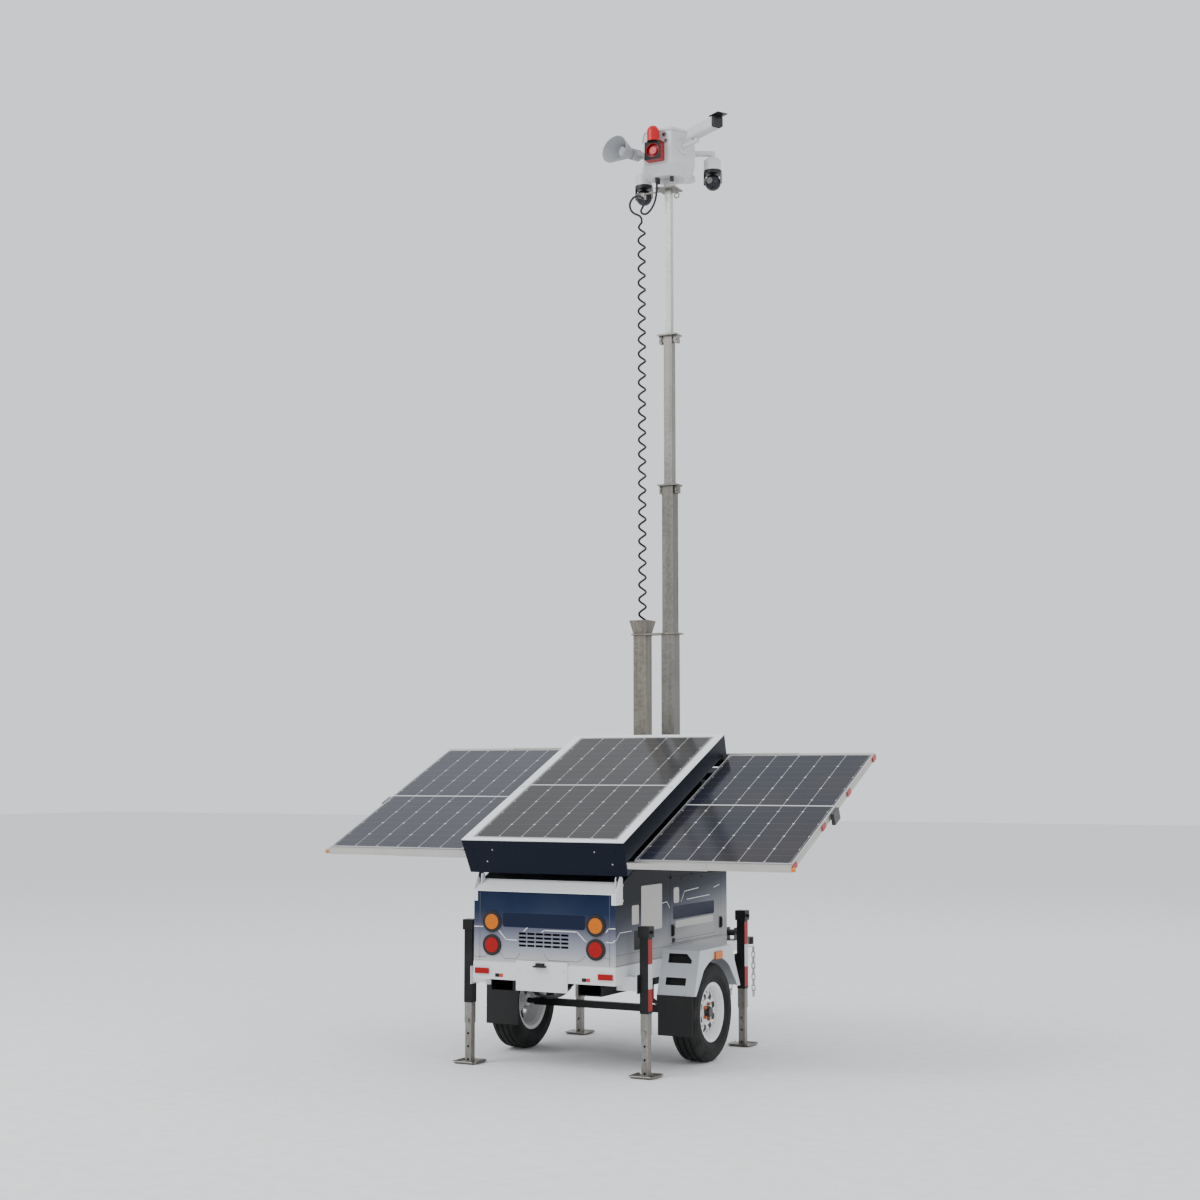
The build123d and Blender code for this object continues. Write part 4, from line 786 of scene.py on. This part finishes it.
@dataclass
class Workshop:
    """Makes meshes and curves, and sets each on its body with its finish."""

    made: dict[str, bpy.types.Material] = field(default_factory=dict)

    def finish(self, recipe: Finish) -> bpy.types.Material:
        """The material of a finish, built once."""
        if recipe.name not in self.made:
            self.made[recipe.name] = recipe.material()
        return self.made[recipe.name]

    def dress(self, recipe: Finish, *nodes: str) -> None:
        """Give CAD nodes a finish.

        Args:
            recipe: The finish.
            nodes: The nodes' names.
        """
        for name in nodes:
            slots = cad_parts[name].data.materials
            slots.clear()
            slots.append(self.finish(recipe))
            LOG.info("dressed %s in %s", name, recipe.name)

    def mesh(self, name: str, points: Sequence[Any], faces: Sequence[Sequence[int]], body: str, slot: str,
             recipe: Finish, smooth: bool = False) -> bpy.types.Object:
        """Make one mesh piece.

        Args:
            name: The piece's name.
            points: Vertices in the frame.
            faces: Vertex indices of each face.
            body: The body it rides on.
            slot: The record's material slot; not used.
            recipe: Its finish.
            smooth: Whether its faces are shaded smooth.

        Returns:
            The piece.
        """
        data = bpy.data.meshes.new(name)
        data.from_pydata([tuple(point) for point in points], [], [list(face) for face in faces])
        data.validate()
        data.polygons.foreach_set("use_smooth", [smooth] * len(data.polygons))
        data.materials.append(self.finish(recipe))
        data.update()
        piece = bpy.data.objects.new(name, data)
        bpy.context.scene.collection.objects.link(piece)
        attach(piece, body)
        LOG.info("built %s on %s", name, body)
        return piece

    @staticmethod
    def route(name: str, points: Sequence[Any], radius: float = 0.0) -> bpy.types.Object:
        """A smooth curve with these control points.

        Args:
            name: The curve's name.
            points: Control points in the frame.
            radius: The cord's radius, or nothing for a bare line.

        Returns:
            The curve object.
        """
        data = bpy.data.curves.new(name, "CURVE")
        data.dimensions = "3D"
        data.resolution_u = 6
        data.bevel_depth = radius
        data.bevel_resolution = 3
        data.use_fill_caps = radius > 0
        spline = data.splines.new("NURBS")
        spline.points.add(len(points) - 1)
        for control, point in zip(spline.points, points):
            control.co = (*point, 1.0)
        spline.order_u = 3
        spline.use_endpoint_u = True
        piece = bpy.data.objects.new(name, data)
        bpy.context.scene.collection.objects.link(piece)
        return piece

    def line(self, points: Sequence[Any]) -> list[Vector]:
        """Follow the smooth curve that a route's control points make.

        Args:
            points: Control points in the frame.

        Returns:
            Points along the curve.
        """
        bare = self.route("bare_line", points)
        bpy.context.view_layer.update()
        graph = bpy.context.evaluated_depsgraph_get()
        mesh = bpy.data.meshes.new_from_object(bare.evaluated_get(graph))
        found = [vertex.co.copy() for vertex in mesh.vertices]
        bpy.data.objects.remove(bare)
        bpy.data.meshes.remove(mesh)
        return found

    def hose(self, name: str, points: Sequence[Any], radius: float, body: str, slot: str,
             recipe: Finish) -> bpy.types.Object:
        """Lay a round cord along a route, as a curve.

        Args:
            name: The cord's name.
            points: Control points in the frame.
            radius: The cord's radius.
            body: The body it rides on.
            slot: The record's material slot; not used.
            recipe: Its finish.

        Returns:
            The cord.
        """
        piece = self.route(name, points, radius)
        piece.data.materials.append(self.finish(recipe))
        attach(piece, body)
        LOG.info("laid %s on %s", name, body)
        return piece

    def tube(self, name: str, path: Sequence[Vector], radius: float, body: str, slot: str, recipe: Finish,
             sides: int = 10) -> bpy.types.Object:
        """Make a round mesh tube with closed ends.

        Args:
            name: The tube's name.
            path: Points along its middle.
            radius: Its radius.
            body: The body it rides on.
            slot: The record's material slot.
            recipe: Its finish.
            sides: Vertices round it.

        Returns:
            The tube.
        """
        points: list[Vector] = []
        across = Vector((1.0, 0.0, 0.0))
        for i, centre in enumerate(path):
            ahead = (path[min(i + 1, len(path) - 1)] - path[max(i - 1, 0)]).normalized()
            across = (across - ahead * across.dot(ahead)).normalized()
            other = ahead.cross(across)
            for k in range(sides):
                turn = 2 * math.pi * k / sides
                points.append(centre + across * (radius * math.cos(turn)) + other * (radius * math.sin(turn)))
        last = (len(path) - 1) * sides
        ends = [list(range(sides))[::-1], list(range(last, last + sides))]
        faces = sleeve(0, len(path), sides) + ends
        return self.mesh(name, points, faces, body, slot, recipe, True)


@dataclass(frozen=True)
class Plane:
    """An upright face that graphics lie on: an origin and two directions along it."""

    origin: Point
    right: Point = (1.0, 0.0, 0.0)
    up: Point = (0.0, 0.0, 1.0)
    lift: float = 0.0007

    def at(self, across: float, high: float, out: float = 0.0) -> Vector:
        """The point at two distances along the face and one off it."""
        right, up = Vector(self.right), Vector(self.up)
        return Vector(self.origin) + right * across + up * high + right.cross(up) * out


@dataclass
class Graphics:
    """Flat strips and blank label panels on a face."""

    shop: Workshop
    plane: Plane
    body: str

    def lines(self, name: str, runs: Iterable[Sequence[Pair]], width: float, slot: str,
              recipe: Finish) -> None:
        """Thin printed lines.

        Args:
            name: The piece's name.
            runs: Polylines along the face.
            width: Line width.
            slot: Material slot.
            recipe: Finish.
        """
        points: list[Vector] = []
        faces: list[list[int]] = []
        for run in runs:
            for (x0, z0), (x1, z1) in zip(run, run[1:]):
                long = math.hypot(x1 - x0, z1 - z0)
                dx, dz = (x1 - x0) / long * width / 2, (z1 - z0) / long * width / 2
                base = len(points)
                for x, z in ((x0 - dx - dz, z0 - dz + dx), (x0 - dx + dz, z0 - dz - dx),
                             (x1 + dx + dz, z1 + dz - dx), (x1 + dx - dz, z1 + dz + dx)):
                    points.append(self.plane.at(x, z, self.plane.lift))
                faces.append([base, base + 1, base + 2, base + 3])
        self.shop.mesh(name, points, faces, self.body, slot, recipe)

    def panel(self, name: str, low: Pair, high: Pair, corner: float, slot: str,
              recipe: Finish, thick: float = 0.0006) -> None:
        """A blank label with rounded corners.

        Args:
            name: The piece's name.
            low: Lower left corner along the face.
            high: Upper right corner.
            corner: Corner radius.
            slot: Material slot.
            recipe: Finish.
            thick: How far it stands off the face.
        """
        left, right = low[0] + corner, high[0] - corner
        bottom, top = low[1] + corner, high[1] - corner
        rim: list[Pair] = []
        for x, z, start in ((right, top, 0), (left, top, 90), (left, bottom, 180), (right, bottom, 270)):
            for step in range(5):
                turn = math.radians(start + step * 22.5)
                rim.append((x + corner * math.cos(turn), z + corner * math.sin(turn)))
        count = len(rim)
        points = [self.plane.at(x, z, 0.0) for x, z in rim] + [self.plane.at(x, z, thick) for x, z in rim]
        faces = [list(range(count, 2 * count))]
        faces += [[i, (i + 1) % count, count + (i + 1) % count, count + i] for i in range(count)]
        self.shop.mesh(name, points, faces, self.body, slot, recipe)


@dataclass
class Studio:
    """Pale floor, soft lights and the camera."""

    place: Point = (6.2257, -12.9385, 2.0406)
    turn: Point = (math.radians(95.31), 0.0, math.radians(27.44))
    lens: float = 55.39
    sensor: float = 36.0
    far: float = 200.0
    floor_half: float = 60.0
    sky: Colour = (0.93, 0.96, 1.0)
    sky_strength: float = 1.15
    lamps: tuple[tuple[str, Point, Point, float, float], ...] = (
        ("key", (-7.0, -10.0, 12.0), (0.0, 0.0, 2.0), 7.0, 1100.0),
        ("fill", (11.0, -5.0, 7.0), (0.0, 0.0, 2.0), 6.0, 250.0),
        ("back", (2.0, 10.0, 12.0), (0.0, 0.0, 3.0), 6.0, 350.0),
    )

    def build(self) -> None:
        """Make the floor, the sky, the lamps and the camera."""
        data = bpy.data.meshes.new("floor")
        far = self.floor_half
        data.from_pydata([(-far, -far, 0), (far, -far, 0), (far, far, 0), (-far, far, 0)], [], [(0, 1, 2, 3)])
        data.materials.append(Moulded("floor_paper", grey(0.86), 0.9, 3.0, 0.0).material())
        floor = bpy.data.objects.new("floor", data)
        bpy.context.scene.collection.objects.link(floor)
        world = bpy.data.worlds.new("soft_sky")
        world.use_nodes = True
        sky = next(node for node in world.node_tree.nodes if node.type == "BACKGROUND")
        sky.inputs["Color"].default_value = (*self.sky, 1.0)
        sky.inputs["Strength"].default_value = self.sky_strength
        bpy.context.scene.world = world
        for lamp in self.lamps:
            self.lamp(*lamp)
        data = bpy.data.cameras.new("camera")
        data.lens = self.lens
        data.sensor_width = self.sensor
        data.clip_end = self.far
        camera = bpy.data.objects.new("camera", data)
        camera.location = self.place
        camera.rotation_euler = self.turn
        bpy.context.scene.collection.objects.link(camera)
        bpy.context.scene.camera = camera
        LOG.info("set the studio and the camera")

    @staticmethod
    def lamp(name: str, place: Point, aim: Point, size: float, power: float) -> None:
        """Add one soft area lamp.

        Args:
            name: The lamp's name.
            place: Where it hangs.
            aim: The point it faces.
            size: The side of its square.
            power: Watts.
        """
        data = bpy.data.lights.new(name, "AREA")
        data.size = size
        data.energy = power
        lamp = bpy.data.objects.new(name, data)
        lamp.location = place
        lamp.rotation_euler = (Vector(aim) - Vector(place)).to_track_quat("-Z", "Y").to_euler()
        bpy.context.scene.collection.objects.link(lamp)


@dataclass
class Cabinet:
    """Cabinet, frame, bumper, lamps and their printed wrap."""

    shop: Workshop
    half: float = 0.553
    bumper_skin: float = 0.006
    door_print_top: float = 1.2
    rear_line: float = 0.006
    side_line: float = 0.005
    seam: float = 0.003
    white: Paint = Paint("white_powder_coat", (0.66, 0.675, 0.69))
    line: Paint = Paint("wrap_line_white", (0.72, 0.73, 0.72), 0.4)
    fine: Paint = Paint("wrap_line_dark", (0.08, 0.085, 0.10), 0.4)
    navy: Paint = Paint("wrap_panel_navy", (0.005, 0.010, 0.032), 0.4, 0.03, 0.15)
    pale: Paint = Paint("wrap_panel_pale", (0.50, 0.49, 0.46), 0.45)
    dark: Paint = Paint("wrap_panel_dark", (0.012, 0.0115, 0.012), 0.45, 0.05, 0.2)
    red: Paint = Paint("red_label", (0.50, 0.02, 0.015), 0.4)

    def dress(self) -> None:
        """Give the CAD nodes their finishes."""
        dress = self.shop.dress
        dress(self.white, "chassis_frame", "rear_bumper", "rear_cap")
        dress(BLACK_GLOSS, "fork_pockets")
        dress(Wrap(), "cabinet_shell", "service_door")
        dress(LAMP_RUBBER, "lamp_grommets")
        dress(Lens("red_lens", (0.36, 0.0, 0.001)), "red_lamps")
        dress(Lens("amber_lens", (0.62, 0.15, 0.001)), "amber_lamps")
        dress(Moulded("latch_plastic", grey(0.014), 0.45), "door_latches")
        dress(Moulded("battery_case", grey(0.035), 0.55), "power_bank")

    def rear(self) -> None:
        """Lines, seams and blank panels on the rear face and the bumper."""
        art = Graphics(self.shop, Plane((0.0, REAR_Y, 0.0)), "trailer")
        art.panel("rear_navy_panel", (-0.322, 0.974), (0.322, 1.070), 0.018, "cabinet_wrap", self.navy)
        art.lines("rear_circuit_lines", [
            [(-0.548, 0.969), (-0.482, 0.969)],
            [(-0.352, 0.948), (-0.295, 0.888), (-0.211, 0.886)],
            [(-0.128, 0.972), (-0.153, 0.950)],
            [(-0.012, 0.949), (0.006, 0.960), (0.261, 0.960), (0.323, 0.899), (0.330, 0.899)],
            [(0.482, 0.899), (0.534, 0.899), (0.548, 0.914)],
            [(0.482, 0.966), (0.500, 0.990), (0.548, 0.992)],
        ], self.rear_line, "white_paint", self.line)
        art.lines("rear_fine_lines", [
            [(-0.548, 0.763), (-0.465, 0.763), (-0.438, 0.786)],
            [(-0.345, 0.796), (-0.306, 0.758), (-0.214, 0.758), (-0.184, 0.800)],
            [(0.005, 0.798), (0.038, 0.760), (0.272, 0.760), (0.323, 0.798)],
            [(0.466, 0.792), (0.520, 0.792)],
            [(-0.505, 0.740), (-0.505, 1.210)], [(0.507, 0.740), (0.507, 1.210)],
        ], self.seam, "cabinet_wrap", self.fine)
        bumper = Graphics(self.shop, Plane((0.0, REAR_Y - self.bumper_skin, 0.0)), "trailer")
        for side, start in (("left", -0.378), ("right", 0.300)):
            for kind, near, far, slot, paint in (("dark", 0.0, 0.034, "black_paint", self.dark),
                                                 ("red", 0.035, 0.064, "red_lens", self.red)):
                low, high = (start + near, 0.630), (start + far, 0.655)
                bumper.panel(f"bumper_label_{side}_{kind}", low, high, 0.003, slot, paint)

    def sides(self) -> None:
        """Lines and blank panels on both sides and the door."""
        for name, sign in (("right", 1.0), ("left", -1.0)):
            face = Plane((sign * self.half, REAR_Y, 0.0), (0.0, sign, 0.0))
            art = Graphics(self.shop, face, "trailer")
            for low, high, paint, kind in (((0.278, 0.827), (0.386, 0.958), self.dark, "plate"),
                                           ((0.390, 0.945), (0.720, 1.255), self.pale, "square"),
                                           ((0.245, 1.000), (0.350, 1.130), self.pale, "badge")):
                a, b = sorted((sign * low[0], sign * high[0]))
                art.panel(f"side_{name}_{kind}", (a, low[1]), (b, high[1]), 0.012, "cabinet_wrap", paint)
            art.lines(f"side_{name}_lines", [
                [(sign * 0.724, 1.118), (sign * 0.800, 1.122), (sign * 0.846, 1.078)],
                [(sign * 0.010, 0.914), (sign * 0.060, 0.960), (sign * 0.236, 0.960)],
            ], self.side_line, "white_paint", self.line)
            art.lines(f"side_{name}_seams", [
                [(sign * 0.006, 0.812), (sign * 1.850, 0.812)],
                [(sign * 0.006, 0.742), (sign * 1.850, 0.742)],
            ], self.seam, "cabinet_wrap", self.fine)

    def door(self) -> None:
        """Blank panels and lines on the service door."""
        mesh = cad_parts["service_door"].data
        skin = max(vertex.co.x for vertex in mesh.vertices if vertex.co.z < self.door_print_top)
        art = Graphics(self.shop, Plane((skin, REAR_Y, 0.0), (0.0, 1.0, 0.0)), "door")
        art.panel("door_navy_panel", (0.905, 0.990), (1.620, 1.085), 0.014, "cabinet_wrap", self.navy)
        art.panel("door_pale_panel", (0.945, 0.930), (1.600, 0.978), 0.010, "cabinet_wrap", self.pale)
        art.panel("door_badge", (0.915, 1.105), (1.005, 1.215), 0.020, "cabinet_wrap", self.pale)
        art.lines("door_lines", [
            [(1.040, 1.110), (1.100, 1.180), (1.340, 1.192)], [(1.140, 1.120), (1.540, 1.130)],
            [(1.620, 1.180), (1.720, 1.196)],
        ], self.side_line, "white_paint", self.line)
        art.lines("door_fine_lines", [
            [(0.905, 0.920), (0.905, 0.846), (1.640, 0.846), (1.640, 0.978)],
            [(1.700, 0.880), (1.700, 1.230)],
        ], self.seam, "cabinet_wrap", self.fine)

    def build(self) -> None:
        """Dress the nodes and add the graphics."""
        self.dress()
        self.rear()
        self.sides()
        self.door()


@dataclass
class Running:
    """Axle, wheels, fenders, jacks and hitch."""

    shop: Workshop

    def build(self) -> None:
        """Dress the running gear, jacks and hitch."""
        dress = self.shop.dress
        galvanised = Steel("jack_galvanised", (0.40, 0.385, 0.36), (0.16, 0.145, 0.13))
        dress(BLACK_GLOSS, "axle_beam", "leaf_springs", "winch", "coupler")
        dress(Wheel(), "wheel_left", "wheel_right")
        dress(Tyre(), "tyre_left", "tyre_right")
        dress(Paint("fender_white", (0.56, 0.58, 0.61)), "fenders")
        dress(LAMP_RUBBER, "fender_rubber")
        dress(Taped(), "jack_tubes")
        dress(BRIGHT_ZINC, "winch_crank", "coupler_latch", "safety_chains")
        for end in ("rear", "front"):
            for side in ("left", "right"):
                dress(galvanised, f"jack_ram_{end}_{side}", f"jack_leg_{end}_{side}")


@dataclass
class SolarArray:
    """Hinged array box, its modules and the slide-out trays."""

    shop: Workshop
    screw_radius: float = 0.006
    screw_sides: int = 16
    screw_rings: tuple[Pair, ...] = ((1.0, 0.0), (0.8, 0.0018), (0.35, 0.0028))
    screw_spots: tuple[Pair, ...] = ((-0.46, 0.165), (0.52, 0.165), (0.40, 0.075), (-0.40, 0.075))

    def screws(self) -> None:
        """Small domed screws in the rear skirt."""
        down = Vector((0.0, math.sin(ARRAY_TILT), -math.cos(ARRAY_TILT)))
        out = Vector((0.0, -math.cos(ARRAY_TILT), -math.sin(ARRAY_TILT)))
        sides, rings = self.screw_sides, len(self.screw_rings)
        points: list[Vector] = []
        faces: list[list[int]] = []
        for x, depth in self.screw_spots:
            centre = Vector((x, *ARRAY_EDGE)) + down * depth
            base = len(points)
            for ring, rise in self.screw_rings:
                radius = self.screw_radius * ring
                for k in range(sides):
                    turn = 2 * math.pi * k / sides
                    spot = centre + Vector((1, 0, 0)) * (radius * math.cos(turn))
                    points.append(spot + down * (radius * math.sin(turn)) + out * rise)
            crown = base + (rings - 1) * sides
            faces += sleeve(base, rings, sides) + [list(range(crown, crown + sides))]
        self.shop.mesh("skirt_screws", points, faces, "array", "zinc", BRIGHT_ZINC, True)

    def build(self) -> None:
        """Dress the box, modules and trays."""
        dress = self.shop.dress
        dress(Paint("skirt_navy", (0.003, 0.006, 0.015), 0.42, 0.03, 0.12), "array_box")
        dress(Paint("rim_white", (0.80, 0.82, 0.83), 0.35), "array_rim")
        # The three modules are alike; their differing cell and sheen colours are painted light and
        # reflection.
        top = Cells("cells_top", -0.567, (0.034, 0.034, 0.035), (0.050, 0.050, 0.052))
        left = Cells("cells_left", -1.801, (0.040, 0.041, 0.053), (0.056, 0.057, 0.073))
        right = Cells("cells_right", 0.667, (0.010, 0.013, 0.026), (0.040, 0.030, 0.024))
        dress(top, "top_module")
        dress(left, "tray_module_left")
        dress(right, "tray_module_right")
        dress(Anodised("slide_aluminium"), "slide_channels", "slide_mid_left", "slide_mid_right")
        dress(Slider(), "tray_frame_left", "tray_frame_right")
        self.screws()


@dataclass
class Mast:
    """Telescoping mast with its lift cables, cord tube, curly cord and plain lead."""

    shop: Workshop
    axis_x: float = -0.246
    axis_y: float = MAST_Y
    coil_low: float = 0.760
    coil_high: float = 6.515
    coil_radius: float = 0.0285
    wire: float = 0.009
    turns: int = 49
    steps: int = 12
    fade: float = 0.6
    cord_length: float = 10.19
    lead_length: float = 0.849
    travel: float = 1.085
    rope: float = 0.003
    rope_rings: int = 240
    rope_sides: int = 24
    strands: int = 6
    strand_lay: float = 0.0085
    groove: float = 0.14
    route: tuple[Point, ...] = (
        (0, 0, 0), (0, 0, 34), (-88, -4, 72), (-112, -8, 148), (-62, -14, 208), (16, -22, 192),
        (40, -30, 118), (2, -42, 56), (70, -62, 14), (150, -92, 66), (186, -100, 160), (186, -100, 262),
    )

    def coil(self) -> None:
        """Curly cord standing in the cord tube and up beside the mast."""
        points: list[Point] = []
        count = self.turns * self.steps
        tall = self.coil_high - self.coil_low
        for i in range(count + 1):
            fade = min(1.0, i / (self.fade * self.steps), (count - i) / (self.fade * self.steps))
            radius = self.coil_radius * fade * fade * (3 - 2 * fade)
            turn = 2 * math.pi * i / self.steps
            points.append((self.axis_x + radius * math.cos(turn), self.axis_y + radius * math.sin(turn),
                           self.coil_low + tall * i / count))
        path = self.shop.line(points)
        cord = self.shop.tube("curly_cord", path, self.wire, "trailer", "rubber", CORD_JACKET)
        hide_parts("cord_coil")
        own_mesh(cord)

    def lead(self) -> None:
        """Plain lead from the top of the coil round its loop to the head."""
        start = Vector((self.axis_x, self.axis_y, self.coil_high))
        points = [tuple(start + Vector(step) / 1000) for step in self.route]
        lead = self.shop.hose("plain_lead", points, self.wire, "mast_4", "rubber", CORD_JACKET)
        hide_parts("cord_lead")

    def ropes(self) -> None:
        """Stranded lift cables beside the first section."""
        low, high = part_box("lift_cables")
        rope = Steel("wire_rope", (0.42, 0.42, 0.41), (0.10, 0.10, 0.10), 30.0, 0.4)
        xs = (low[0] + self.rope, high[0] - self.rope)
        middle = (low[1] + high[1]) / 2
        points: list[Vector] = []
        faces: list[list[int]] = []
        rings, sides = self.rope_rings, self.rope_sides
        for x in xs:
            base = len(points)
            for i in range(rings + 1):
                z = low[2] + (high[2] - low[2]) * i / rings
                for k in range(sides):
                    turn = 2 * math.pi * k / sides
                    wave = math.cos(self.strands * (turn - z / self.strand_lay))
                    radius = self.rope * (1.0 - self.groove + self.groove * wave)
                    points.append(Vector((x + radius * math.cos(turn), middle + radius * math.sin(turn), z)))
            last = base + rings * sides
            faces += sleeve(base, rings + 1, sides)
            faces += [list(range(base, base + sides))[::-1], list(range(last, last + sides))]
        piece = self.shop.mesh("lift_ropes", points, faces, "trailer", "zinc", rope, True)
        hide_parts("lift_cables")
        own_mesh(piece)

    def build(self) -> None:
        """Dress the mast and lay its cords."""
        dress = self.shop.dress
        lower = Steel("mast_galvanised_dark", (0.27, 0.262, 0.235), (0.11, 0.105, 0.09))
        upper = Steel("mast_galvanised_light", (0.52, 0.56, 0.47), (0.30, 0.33, 0.30))
        tube = Steel("tube_galvanised", (0.34, 0.315, 0.27), (0.13, 0.115, 0.095))
        middle = Steel("mast_galvanised_mid", (0.36, 0.355, 0.33), (0.16, 0.15, 0.13))
        dress(lower, "mast_base", "mast_section_2")
        dress(tube, "cord_tube", "mast_brackets")
        dress(middle, "mast_section_3")
        dress(upper, "mast_section_4")
        self.coil()
        self.lead()
        self.ropes()


@dataclass
class Head:
    """Camera head: housing, beacon, horn and cameras."""

    shop: Workshop

    def build(self) -> None:
        """Dress the head."""
        dress = self.shop.dress
        black = Moulded("ball_black", (0.010, 0.011, 0.016), 0.12, 200.0, 0.0)
        dress(HeadShell(), "head_housing")
        dress(Sounder(), "sounder_beacon")
        dress(Moulded("horn_grey", (0.36, 0.37, 0.385), 0.5), "horn_speaker")
        dress(Bullet(), "bullet_camera")
        dress(Moulded("ring_black", grey(0.014), 0.35), "ptz_ring_left", "ptz_ring_right")
        dress(black, "ptz_eye_left", "ptz_eye_right")


def main() -> None:
    """Build the whole tower."""
    logging.basicConfig(level=logging.INFO, format="%(name)s: %(message)s")
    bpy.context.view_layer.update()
    Studio().build()
    shop = Workshop()
    for part in (Mast(shop), Cabinet(shop), Running(shop), SolarArray(shop), Head(shop)):
        part.build()


if __name__ == "__main__":
    main()
